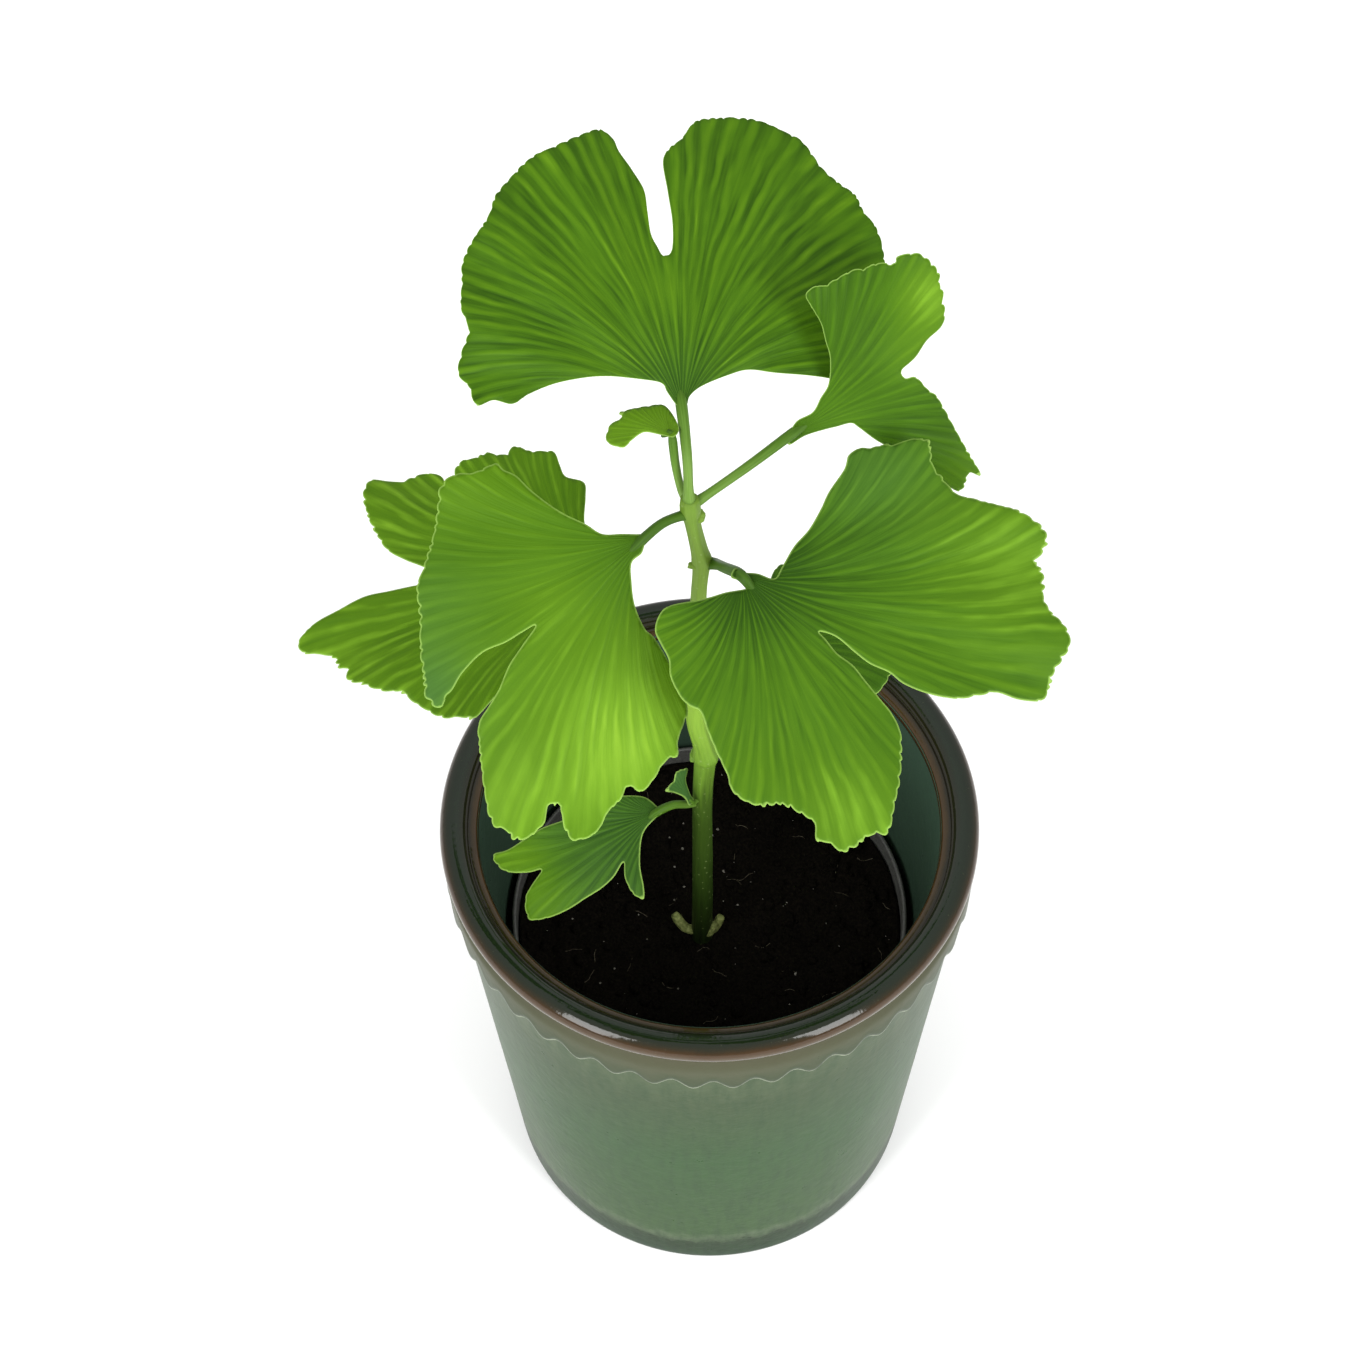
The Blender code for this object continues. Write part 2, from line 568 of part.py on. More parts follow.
def leaf_frame(leaf):
    """The blade's place: x to its right, y forward along its middle and z out of its upper face."""
    heading, rise, roll = (math.radians(leaf[key]) for key in ("heading", "rise", "roll"))
    forward = Vector((math.cos(heading) * math.cos(rise), math.sin(heading) * math.cos(rise), math.sin(rise)))
    upper = Vector((-math.cos(heading) * math.sin(rise), -math.sin(heading) * math.sin(rise), math.cos(rise)))
    right = forward.cross(upper)
    turned_right = right * math.cos(roll) - upper * math.sin(roll)
    turned_up = upper * math.cos(roll) + right * math.sin(roll)
    axes = Matrix((turned_right, forward, turned_up)).transposed().to_4x4()
    return Matrix.Translation(Vector(leaf["base"]) * MM) @ axes


def blade_mesh(name, leaf):
    """Both faces of the blade, triangulated alike, and the thin wall between them."""
    smooth = smooth_route(leaf["outline"], MARGIN_STEP, closed=True)
    outline = toothed(smooth, leaf["reach"])
    inner = grid_points(outline, min(VEIN_GRID, leaf["reach"] * 0.16))
    rim = list(range(len(outline)))
    flat, _, faces, _, _, _ = delaunay_2d_cdt(outline + inner, [], [rim], 1, 0.0001)
    half = BLADE_THICKNESS / 2
    heights = [blade_height(leaf, p.x, p.y) for p in flat]
    points = [(p.x * MM, p.y * MM, (h + half) * MM) for p, h in zip(flat, heights)]
    points += [(p.x * MM, p.y * MM, (h - half) * MM) for p, h in zip(flat, heights)]
    under = len(flat)
    mesh = bpy.data.meshes.new(name)
    sides = [(a, b) for face in faces for a, b in zip(face, face[1:] + face[:1])]
    known = set(sides)
    wall = [(b, a, a + under, b + under) for a, b in sides if (b, a) not in known]
    lower = [tuple(i + under for i in reversed(face)) for face in faces]
    mesh.from_pydata(points, [], [tuple(face) for face in faces] + lower + wall)
    return mesh


def leaf_stalk(name, leaf, parts):
    """The stalk from beside the stem to the blade, running on a little way as its rib."""
    frame = leaf_frame(leaf)
    length = min(RIB_LENGTH, leaf["reach"] * 0.16)
    rib = []
    for forward in (0.0, length * 0.5, length):
        height = blade_height(leaf, 0.0, forward) - RIB_DROP * forward / length
        rib.append(frame @ (Vector((0.0, forward, height)) * MM) / MM)
    route = smooth_route([Vector(p) for p in leaf["stalk"]] + rib, 2.6)
    start, end = leaf["stalk_radii"]
    count = len(route)
    radii = []
    for i in range(count):
        share = i / (count - 1)
        swell = start + (end - start) * min(1.0, share * 1.5)
        radii.append(swell * (1.0 if share < 0.75 else 1.0 - 1.7 * (share - 0.75)))
    return tube(name + " stalk", route, radii, parts)


def build_leaf(name, leaf, parts, finish):
    blade = mesh_object(name, blade_mesh(name, leaf), parts, finish)
    blade.matrix_world = leaf_frame(leaf)
    fuse(blade, [leaf_stalk(name, leaf, parts)])
    blade.data.materials.clear()
    blade.data.materials.append(finish)
    shade(blade, 50)


def build():
    clear_scene()
    parts = new_collection("ginkgo bonsai")
    guides = new_collection("cutters")
    build_cover_pot(parts, guides)
    build_nursery_pot(parts, guides)
    build_soil(parts, guides)
    build_stem(parts)
    finish = material("ginkgo leaf", (0.13, 0.36, 0.03), 0.5)
    for name, leaf in LEAVES.items():
        build_leaf(name, leaf, parts, finish)


build()
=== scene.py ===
"""The looks of a young ginkgo in its nursery pot, standing inside a glazed cover pot.

Values are in millimetres and degrees unless they say otherwise. +Z is up, the origin is the middle
of the cover pot's flat base, and the front is -Y.
"""

import math
import random

import bmesh
import bpy
import numpy as np
from mathutils import Matrix, Vector, noise
from mathutils.geometry import delaunay_2d_cdt


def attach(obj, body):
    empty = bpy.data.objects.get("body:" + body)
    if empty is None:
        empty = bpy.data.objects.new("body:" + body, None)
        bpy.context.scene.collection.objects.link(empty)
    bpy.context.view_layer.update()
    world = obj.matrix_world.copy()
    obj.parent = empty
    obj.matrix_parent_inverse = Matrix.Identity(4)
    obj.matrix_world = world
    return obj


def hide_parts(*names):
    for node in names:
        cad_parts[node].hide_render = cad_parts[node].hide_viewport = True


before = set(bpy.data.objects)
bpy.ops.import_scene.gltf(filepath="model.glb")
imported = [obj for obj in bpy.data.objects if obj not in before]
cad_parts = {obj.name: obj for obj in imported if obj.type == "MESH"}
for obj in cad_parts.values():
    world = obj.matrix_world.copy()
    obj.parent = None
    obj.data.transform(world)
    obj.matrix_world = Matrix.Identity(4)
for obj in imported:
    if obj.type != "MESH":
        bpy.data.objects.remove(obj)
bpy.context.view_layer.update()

MM = 0.001

# Camera, in metres and degrees
CAMERA_PLACE = (-0.00615, -0.44558, 0.86955)
CAMERA_LOOKS_DOWN = 56.15
CAMERA_ROLL = -0.73
CAMERA_LENS = 89.6
CAMERA_SENSOR = 36.0

# Studio, in metres and watts: the surround's brightness, the two softboxes and the floor's half width
HORIZON_LIGHT = 0.8
CEILING_LIGHT = 1.05
SOFTBOX_SIZE = (0.4, 1.0)
SOFTBOX_POWER = 13.0
SOFTBOX_PLACE = (0.76, -0.86, 0.8)
SOFTBOX_TARGET = (0.0, 0.0, 0.15)
FLOOR_REACH = 4.0

# Cover pot: its hem is the wavy lower edge of the band under the lip
POT_SEGMENTS = 420
POT_UNEVENNESS = 0.14
HEM_WAVES = 42
HEM_MIDDLE_Z = 128.0
HEM_WAVE = 1.9
HEM_RADIUS = 65.2
HEM_ROUNDING = 1.6
HEM_TUCK = 1.2
ROLL_CENTRE = (64.1, 143.4)
ROLL_RADIUS = 3.4
BEAD_CENTRE = (60.0, 141.4)
BEAD_RADIUS = 2.1
BAND_RADIUS = 66.9
BAND_BEND_Z = 134.0
NECK = ((66.75, 136.2), (66.1, 138.2), (65.9, 140.2), (66.35, 141.0))
BODY_FOOT = (54.5, 6.0)
BODY_TOP = (64.7, 125.8)
BASE_RADIUS = 52.6
BEAD_FOOT = (57.9, 141.0)
INNER_TOP = (57.8, 138.9)
INNER_MIDDLE = (53.6, 97.0)
INNER_FOOT = (47.4, 13.0)
FLOOR_Z = 8.0
FLOOR_EDGE = (41.0, FLOOR_Z)
# Glaze zones run from 0 under the base up and over the lip to 10 on the inner floor: where the body
# ends, and where the glossy lip begins and ends
BODY_END_ZONE = 3.05
LIP_LOW_ZONE = 3.9
LIP_HIGH_ZONE = 7.2
# Each glaze: name, gloss and roughness
BODY_GLAZE = ("satin celadon glaze", 0.03, 0.25)
LIP_GLAZE = ("glossy lip glaze", 0.32, 0.05)

# Nursery pot
NURSERY_SEGMENTS = 240
NURSERY_BASE_Z = 8.3
NURSERY_FLOOR_Z = 10.5
NURSERY_BASE_RADIUS = 38.4
NURSERY_TOP_Z = 98.0
NURSERY_TOP_RADIUS = 51.6
NURSERY_WALL = 1.2
COLLAR_LOW_Z = 89.0
COLLAR_STEP = 1.6

# Soil
SOIL_TOP_Z = 93.0
SOIL_RADIUS = 49.8
SOIL_SEGMENTS = 300
SOIL_RING_STEP = 0.75
SOIL_SEED = 11
# Radius and height up the soil's side
SOIL_SIDE = ((35.6, 11.1), (48.3, 88.0), (SOIL_RADIUS, 89.6), (SOIL_RADIUS, 91.0))
# Loose things on the soil: how many, and their smallest and largest size
CLOD_COUNT = 420
CLOD_SIZES = (0.5, 1.7)
SPECK_COUNT = 90
SPECK_SIZES = (0.12, 0.45)
FIBRE_COUNT = 34
SCATTER_RADIUS = SOIL_RADIUS * 0.97
STEM_CLEARANCE = 5.0

# Stem: x, y, z and radius, from the root's tip to the top
STEM_ROUTE = (
    (-2.0, -4.2, 66.0, 1.2),
    (-2.0, -4.2, 74.0, 2.4),
    (-2.0, -4.3, 93.0, 2.75),
    (-1.8, -4.6, 120.0, 2.6),
    (-1.7, -5.0, 161.0, 2.45),
    (-1.1, -5.3, 178.0, 2.6),
    (-0.9, -5.4, 182.0, 3.1),
    (-1.6, -5.5, 187.0, 2.5),
    (-3.4, -5.6, 201.0, 2.2),
    (-2.9, -5.9, 232.0, 1.9),
    (-2.4, -6.0, 250.0, 1.8),
    (-1.9, -6.1, 259.0, 1.9),
    (-1.7, -6.1, 263.0, 2.3),
    (-2.3, -6.1, 267.5, 1.9),
    (-3.6, -6.1, 277.0, 1.8),
    (-4.1, -6.1, 282.0, 2.3),
    (-4.3, -6.0, 285.0, 2.0),
)
STEM_SIDES = 44
STEM_STEP = 0.9
STEM_SEED = 5
# Where the stem's ribs begin, and the height over which they come in
RIBS_LOW_Z = 120
RIBS_FADE = 40
# Short dead basal shoots: heading, outward reach, rise and radius
BASAL_SHOOTS = ((148, 8.4, 5.5, 1.3), (39, 6.4, 5.0, 1.2), (32, 3.6, 5.0, 1.1))
SHOOTS_AHEAD = 2.8
SHOOTS_ABOVE_SOIL = 2.6
SHOOT_SIDES = 18
SHOOT_GRAIN_STEP = 0.45
# Buds on the stem: heading, height and radius
STEM_BUDS = ((10, 279.0, 1.5), (205, 262.0, 1.3), (170, 181.0, 1.6), (30, 199.0, 1.4))

# Leaves
BLADE_THICKNESS = 0.4
MARGIN_STEP = 0.45
BLADE_GRID = 0.85
# The share of its thickness that a blade has left at its margin, and how wide the margin is pale
EDGE_SHARE = 0.35
PALE_EDGE = 0.5
RIB_LENGTH = 9.0
RIB_DROP = 1.5
STALK_SIDES = 16
STALK_STEP = 0.7
# The share of a stalk that keeps its own tone before it darkens towards the blade
STALK_PALE_SHARE = 0.3
STALK_END_TONE = 0.1
# Radians of vein waves for each unit of vein number, and how far out the veins begin to fork
INNER_VEINS = 46.0
OUTER_VEINS = 92.0
VEINS_FORK_REACH = 20.0

# Each leaf's form: the blade's base point, heading, rise and roll, its reach, how it bends, where its
# stalk leaves the stem and its outline as (right, forward) points that go round the blade. Its looks:
# tone runs from deep green at 0 to lime at 1, and is raised or lowered in round patches, each given
# as right, forward, size, change of tone and change of coolness. The patches that darken a blade's base
# are painted shade where the blade folds in to meet its stalk. Streak is how far the tone swings
# from vein to vein, ridge and teeth are heights, and plain_edge makes the pale margin narrower.
LEAVES = {
    "leaf_top": dict(
        base=(-5.5, 7.0, 299.3), heading=96, rise=30, roll=16, reach=60, sag=6, cup=-3, pleat=0.8, pleats=15,
        stalk=((-4.4, -5.6, 286.4), (-4.6, -1.8, 293.6)), stalk_radii=(0.9, 1.3),
        outline=(
            (-1, 1), (-3, 4), (-4, 6), (-8, 7), (-15, 8), (-21, 8), (-28, 7), (-34, 5), (-38, 3),
            (-42, 4), (-46, 3), (-47, 7), (-49, 10), (-48, 14), (-46, 19), (-47, 23), (-47, 25),
            (-46, 29), (-45, 34), (-42, 39), (-38, 44), (-36, 48), (-31, 53), (-26, 57), (-21, 59),
            (-16, 61), (-10, 63), (-7, 61), (-6, 58), (-4, 54), (-2, 49), (-2, 44), (-2, 39), (-1, 36),
            (0, 34), (2, 35), (3, 41), (3, 48), (3, 55), (5, 58), (8, 60), (12, 64), (17, 65), (22, 65),
            (27, 64), (32, 61), (36, 58), (39, 53), (43, 49), (46, 46), (47, 42), (49, 38), (50, 33),
            (50, 30), (50, 24), (47, 16), (43, 10), (39, 6), (36, 4), (34, 5), (29, 6), (22, 7), (16, 8),
            (11, 7), (5, 5), (2, 3), (1, 1),
        ),
        stalk_tone=0.75, tone=0.22, cool=0.0, streak=0.42, ridge=0.20, teeth=0.32, plain_edge=3.5,
        patches=((0, 4, 7, -0.12, 0.2), (0, 27, 3.5, 0.16, 0), (-13, 38, 8, 0.06, 0), (30, 10, 12, -0.02, 0)),
    ),
    "leaf_upper_right": dict(
        base=(19.2, 9.8, 288.1), heading=22, rise=20, roll=60, reach=50, sag=0, cup=2, pleat=0.7, pleats=9,
        stalk=((-1.6, -4.9, 283.6), (9.0, 2.0, 286.4)), stalk_radii=(0.9, 1.2),
        outline=(
            (0, -2), (-2, 1), (-2, 5), (-4, 8), (-6, 11), (-11, 14), (-15, 15), (-19, 16), (-23, 16),
            (-26, 16), (-27, 17), (-27, 19), (-26, 21), (-26, 25), (-26, 27), (-25, 30), (-25, 32),
            (-24, 34), (-23, 36), (-24, 37), (-23, 40), (-21, 42), (-17, 43), (-15, 43), (-13, 42),
            (-11, 42), (-9, 41), (-6, 40), (-4, 38), (-3, 34), (-1, 30), (0, 26), (2, 26), (3, 28),
            (7, 29), (10, 30), (14, 30), (20, 30), (25, 30), (32, 30), (30, 28), (32, 26), (33, 24),
            (29, 22), (23, 20), (17, 17), (12, 14), (7, 12), (5, 11), (4, 8), (3, 5), (2, 1), (2, -3),
        ),
        stalk_tone=0.62, tone=0.13, cool=0.0, streak=0.20, ridge=0.10, teeth=0.42, plain_edge=2.0,
        patches=((-12, 40, 6, 0.5, 0), (-3, 30, 6, 0.2, 0), (1, 8, 7, 0.1, 0), (29, 26, 5, 0.25, 0)),
    ),
    "leaf_curled": dict(
        base=(-8.0, 2.0, 298.0), heading=160, rise=-10, roll=0, reach=15, sag=0, cup=0, pleat=0.3, pleats=5,
        stalk=((-5.9, -3.4, 284.4), (-7.2, -1.0, 291.0)), stalk_radii=(0.8, 1.0),
        outline=(
            (7, 4), (6, 8), (3, 13), (2, 12), (-1, 14), (-5, 13), (-6, 9), (-4, 8), (-1, 6), (-1, 2),
            (-1, -1), (2, -1),
        ),
        stalk_tone=0.8, tone=0.62, cool=0.0, streak=0.12, ridge=0.08, teeth=0.3, plain_edge=2.0, patches=(),
    ),
    "leaf_left_front": dict(
        base=(-13.9, -13.9, 282.2), heading=222, rise=-16, roll=-20, reach=60, sag=6, cup=4, pleat=0.7,
        pleats=13, stalk=((-7.1, -7.9, 281.2), (-10.4, -10.6, 282.4)), stalk_radii=(1.0, 1.2),
        outline=(
            (0, -2), (1, 0), (4, 3), (7, 6), (11, 7), (17, 9), (24, 10), (29, 10), (32, 11), (34, 11),
            (35, 13), (36, 16), (38, 18), (39, 20), (39, 23), (36, 27), (33, 31), (29, 38), (27, 42),
            (22, 46), (18, 50), (13, 54), (9, 57), (6, 57), (5, 56), (6, 54), (6, 52), (7, 48), (7, 42),
            (5, 37), (4, 33), (3, 30), (2, 35), (1, 40), (-1, 45), (-2, 49), (-3, 53), (-6, 56),
            (-11, 60), (-15, 63), (-18, 65), (-21, 66), (-23, 65), (-26, 65), (-28, 62), (-28, 60),
            (-28, 58), (-26, 55), (-27, 54), (-27, 53), (-29, 54), (-32, 56), (-35, 56), (-37, 53),
            (-37, 50), (-36, 47), (-36, 43), (-35, 40), (-38, 39), (-38, 35), (-37, 31), (-38, 28),
            (-36, 26), (-34, 22), (-33, 20), (-30, 18), (-25, 16), (-17, 14), (-14, 14), (-9, 12),
            (-5, 9), (-2, 6), (-2, 3), (-1, 1), (0, -1),
        ),
        stalk_tone=0.25, tone=0.41, cool=0.02, streak=0.18, ridge=0.09, teeth=0.55, plain_edge=1.2,
        patches=(
            (0, 2, 9, -0.24, 0), (3, 24, 5, 0.14, 0), (-30, 34, 11, 0.38, 0), (-22, 60, 10, 0.2, 0),
            (-12, 38, 12, 0.05, 0), (9, 56, 6.5, -0.05, 0.55), (24, 44, 9, -0.08, 0.15), (36, 14, 8, 0.14, 0),
            (20, 26, 12, -0.08, 0),
        ),
    ),
    "leaf_right_front": dict(
        base=(6.5, -24.2, 282.2), heading=310, rise=-14, roll=8, reach=60, sag=5, cup=3, pleat=0.8, pleats=15,
        stalk=((1.4, -7.4, 263.0), (3.3, -15.3, 272.5)), stalk_radii=(1.1, 1.3),
        outline=(
            (0, -2), (-1, 0), (-3, 2), (-5, 5), (-8, 4), (-13, 2), (-18, 1), (-23, -1), (-27, -3),
            (-33, -5), (-36, -7), (-39, -7), (-40, -6), (-42, -5), (-44, -4), (-45, -3), (-48, -2),
            (-50, -1), (-52, 1), (-51, 3), (-49, 6), (-49, 9), (-49, 14), (-51, 17), (-54, 21), (-57, 25),
            (-58, 28), (-59, 31), (-58, 34), (-56, 35), (-53, 36), (-53, 38), (-51, 41), (-49, 43),
            (-48, 46), (-48, 49), (-48, 52), (-46, 55), (-43, 56), (-40, 57), (-37, 59), (-34, 60),
            (-30, 57), (-27, 53), (-23, 51), (-19, 49), (-15, 45), (-12, 40), (-11, 36), (-9, 32),
            (-8, 28), (-7, 23), (-5, 20), (-5, 22), (-5, 26), (-6, 30), (-6, 34), (-6, 39), (-6, 43),
            (-5, 47), (-2, 51), (2, 55), (7, 59), (11, 62), (14, 60), (17, 60), (21, 59), (22, 56),
            (24, 54), (22, 51), (23, 48), (25, 44), (29, 41), (31, 37), (31, 34), (30, 32), (29, 28),
            (28, 24), (27, 21), (26, 18), (27, 15), (27, 12), (26, 8), (24, 5), (23, 1), (22, -2),
            (19, -4), (16, -4), (10, -1), (5, 1), (1, 3), (1, 1), (2, -1),
        ),
        stalk_tone=0.25, tone=0.27, cool=0.05, streak=0.30, ridge=0.16, teeth=0.6, plain_edge=1.2,
        patches=(
            (0, 2, 10, -0.3, 0), (-48, 34, 13, 0.33, 0), (14, 55, 8, 0.34, 0), (-38, -3, 11, 0.06, 0.3),
            (27, 36, 8, 0.1, 0), (22, 0, 6, 0.12, 0), (-20, 10, 12, -0.08, 0),
        ),
    ),
    "leaf_back_left": dict(
        base=(-25.0, 13.0, 231.5), heading=186, rise=-4, roll=-8, reach=60, sag=6, cup=3, pleat=0.8,
        pleats=15, stalk=((-6.2, -4.4, 203.6), (-14.0, 3.0, 215.0)), stalk_radii=(1.0, 1.3),
        outline=(
            (0, -3), (2, 0), (8, 1), (14, 2), (21, 1), (25, 1), (27, 5), (30, 6), (34, 7), (35, 10),
            (36, 13), (38, 16), (36, 19), (37, 23), (36, 26), (36, 29), (33, 31), (26, 30), (20, 29),
            (22, 31), (28, 33), (33, 34), (35, 37), (35, 41), (34, 43), (35, 47), (36, 51), (33, 53),
            (29, 53), (24, 52), (17, 49), (13, 45), (10, 41), (7, 37), (5, 38), (5, 43), (5, 49),
            (5, 55), (3, 62), (1, 68), (-2, 72), (-5, 71), (-6, 68), (-8, 64), (-11, 63), (-12, 61),
            (-15, 61), (-17, 58), (-20, 53), (-21, 49), (-25, 45), (-29, 40), (-30, 36), (-31, 33),
            (-30, 31), (-25, 25), (-20, 17), (-13, 8), (-7, 3), (-2, -2),
        ),
        stalk_tone=0.5, tone=0.46, cool=0.0, streak=0.36, ridge=0.26, teeth=0.65, plain_edge=1.6,
        patches=((0, 4, 12, -0.12, 0), (-14, 58, 12, 0.08, 0), (30, 45, 10, 0.08, 0)),
    ),
    "leaf_low_left": dict(
        base=(-13.0, -12.0, 167.0), heading=214, rise=-22, roll=-10, reach=35, sag=5, cup=3, pleat=0.5,
        pleats=9, stalk=((-5.2, -6.9, 162.4), (-9.0, -9.6, 166.4)), stalk_radii=(0.9, 1.1),
        outline=(
            (1, -1), (5, 0), (9, 4), (11, 7), (12, 12), (14, 18), (17, 25), (19, 34), (21, 38), (19, 39),
            (15, 38), (11, 34), (9, 31), (8, 35), (7, 38), (5, 40), (2, 41), (-1, 37), (-3, 32), (-4, 27),
            (-5, 22), (-5, 18), (-4, 14), (-7, 16), (-11, 17), (-14, 16), (-12, 14), (-7, 11), (-2, 6),
            (-1, 1), (-1, -1),
        ),
        stalk_tone=0.6, tone=0.11, cool=0.3, streak=0.25, ridge=0.14, teeth=0.4, plain_edge=1.2,
        patches=((18, 36, 8, 0.34, -0.3), (4, 36, 8, 0.22, -0.3), (0, 8, 9, -0.06, 0.0)),
    ),
    "leaf_low_bud": dict(
        base=(-4.9, -8.6, 167.0), heading=150, rise=62, roll=0, reach=10, sag=0, cup=-3, pleat=0.2, pleats=3,
        stalk=((-4.0, -8.1, 164.6), (-4.4, -8.4, 165.8)), stalk_radii=(0.5, 0.6),
        outline=((-1, -1), (-1, 2), (-3, 6), (-5, 9), (-1, 8), (1, 9), (4, 7), (2, 5), (1, 1), (1, -1)),
        stalk_tone=0.6, tone=0.30, cool=0.8, streak=0.15, ridge=0.05, teeth=0.2, plain_edge=1.2, patches=(),
    ),
    "leaf_back_right": dict(
        base=(16.0, 8.0, 207.0), heading=30, rise=2, roll=8, reach=34, sag=3, cup=2, pleat=0.5, pleats=11,
        stalk=((1.1, -3.2, 202.4), (8.0, 2.0, 205.6)), stalk_radii=(0.9, 1.1),
        outline=(
            (-1, -1), (-4, 3), (-10, 6), (-16, 8), (-19, 12), (-18, 17), (-15, 22), (-10, 27), (-5, 30),
            (-1, 29), (0, 20), (2, 29), (8, 29), (14, 26), (18, 21), (21, 15), (20, 10), (15, 8), (9, 6),
            (4, 3), (1, -1),
        ),
        stalk_tone=0.5, tone=0.18, cool=0.1, streak=0.24, ridge=0.14, teeth=0.35, plain_edge=2.0, patches=(),
    ),
}


class Finish:
    """A material's node tree, built by short calls."""

    def __init__(self, name, **fixed):
        self.material = bpy.data.materials.new(name)
        self.material.use_nodes = True
        self.tree = self.material.node_tree
        self.shader = self.tree.nodes["Principled BSDF"]
        for words, value in fixed.items():
            self.shader.inputs[words.replace("_", " ")].default_value = value

    def put(self, socket, value):
        """Link the socket to another one, or set its own value."""
        if isinstance(value, bpy.types.NodeSocket):
            self.tree.links.new(value, socket)
        else:
            socket.default_value = value

    def node(self, kind, settings=None, **values):
        made = self.tree.nodes.new("ShaderNode" + kind)
        for key, value in (settings or {}).items():
            setattr(made, key, value)
        for key, value in values.items():
            self.put(made.inputs[key.replace("_", " ")], value)
        return made

    def calc(self, operation, first, second=0.0, clamp=False):
        made = self.node("Math", dict(operation=operation, use_clamp=clamp))
        self.put(made.inputs[0], first)
        self.put(made.inputs[1], second)
        return made.outputs[0]

    def plus(self, *terms, clamp=False):
        """The terms' sum, held to 0..1 if it is clamped."""
        total = terms[0]
        for term in terms[1:-1]:
            total = self.calc("ADD", total, term)
        return self.calc("ADD", total, terms[-1], clamp)

    def minus(self, first, second, clamp=False):
        return self.calc("SUBTRACT", first, second, clamp)

    def times(self, first, second, clamp=False):
        return self.calc("MULTIPLY", first, second, clamp)

    def split(self, name):
        """The three numbers of a vector attribute."""
        source = self.node("Attribute", dict(attribute_name=name))
        return self.node("SeparateXYZ", Vector=source.outputs["Vector"]).outputs

    def number(self, name):
        return self.node("Attribute", dict(attribute_name=name)).outputs["Fac"]

    def join(self, x, y, z):
        return self.node("CombineXYZ", X=x, Y=y, Z=z).outputs[0]

    def place(self):
        """The surface point, in millimetres."""
        point = self.node("TexCoord").outputs["Object"]
        made = self.node("VectorMath", dict(operation="SCALE"), Scale=1 / MM)
        self.put(made.inputs[0], point)
        return made.outputs[0]

    def noise(self, vector, scale=1.0, detail=2.0, rough=0.5):
        values = dict(Vector=vector, Scale=scale, Detail=detail, Roughness=rough)
        return self.node("TexNoise", **values).outputs["Fac"]

    def drawn_out(self, fan, across, along, offset, detail=2.0):
        """Noise drawn out along veins or a stem, given its frequencies across and along them."""
        point = self.join(self.times(fan[0], across), self.times(fan[1], along), offset)
        return self.noise(point, 1.0, detail)

    def spots(self, vector, scale):
        """Distance to the nearest of scattered points."""
        return self.node("TexVoronoi", Vector=vector, Scale=scale).outputs["Distance"]

    def ramp(self, value, stops):
        made = self.node("ValToRGB", Fac=value)
        band = made.color_ramp
        while len(band.elements) < len(stops):
            band.elements.new(1.0)
        for element, (place, colour) in zip(band.elements, stops):
            element.position = place
            element.color = (*colour, 1.0)
        return made.outputs["Color"]

    def blend(self, share, first, second):
        made = self.tree.nodes.new("ShaderNodeMix")
        made.data_type = "RGBA"
        self.put(made.inputs[0], share)
        for socket, colour in ((made.inputs[6], first), (made.inputs[7], second)):
            self.put(socket, colour if isinstance(colour, bpy.types.NodeSocket) else (*colour, 1.0))
        return made.outputs[2]

    def shift(self, value, amount):
        """Noise in 0..1, moved to swing about zero by the amount."""
        return self.times(self.minus(value, 0.5), amount)

    def done(self, colour, height=None, distance=0.1, roughness=None):
        self.put(self.shader.inputs["Base Color"], colour)
        if roughness is not None:
            self.put(self.shader.inputs["Roughness"], roughness)
        if height is not None:
            bump = self.node("Bump", Height=height, Distance=distance * MM, Strength=1.0)
            self.put(self.shader.inputs["Normal"], bump.outputs["Normal"])
        return self.material


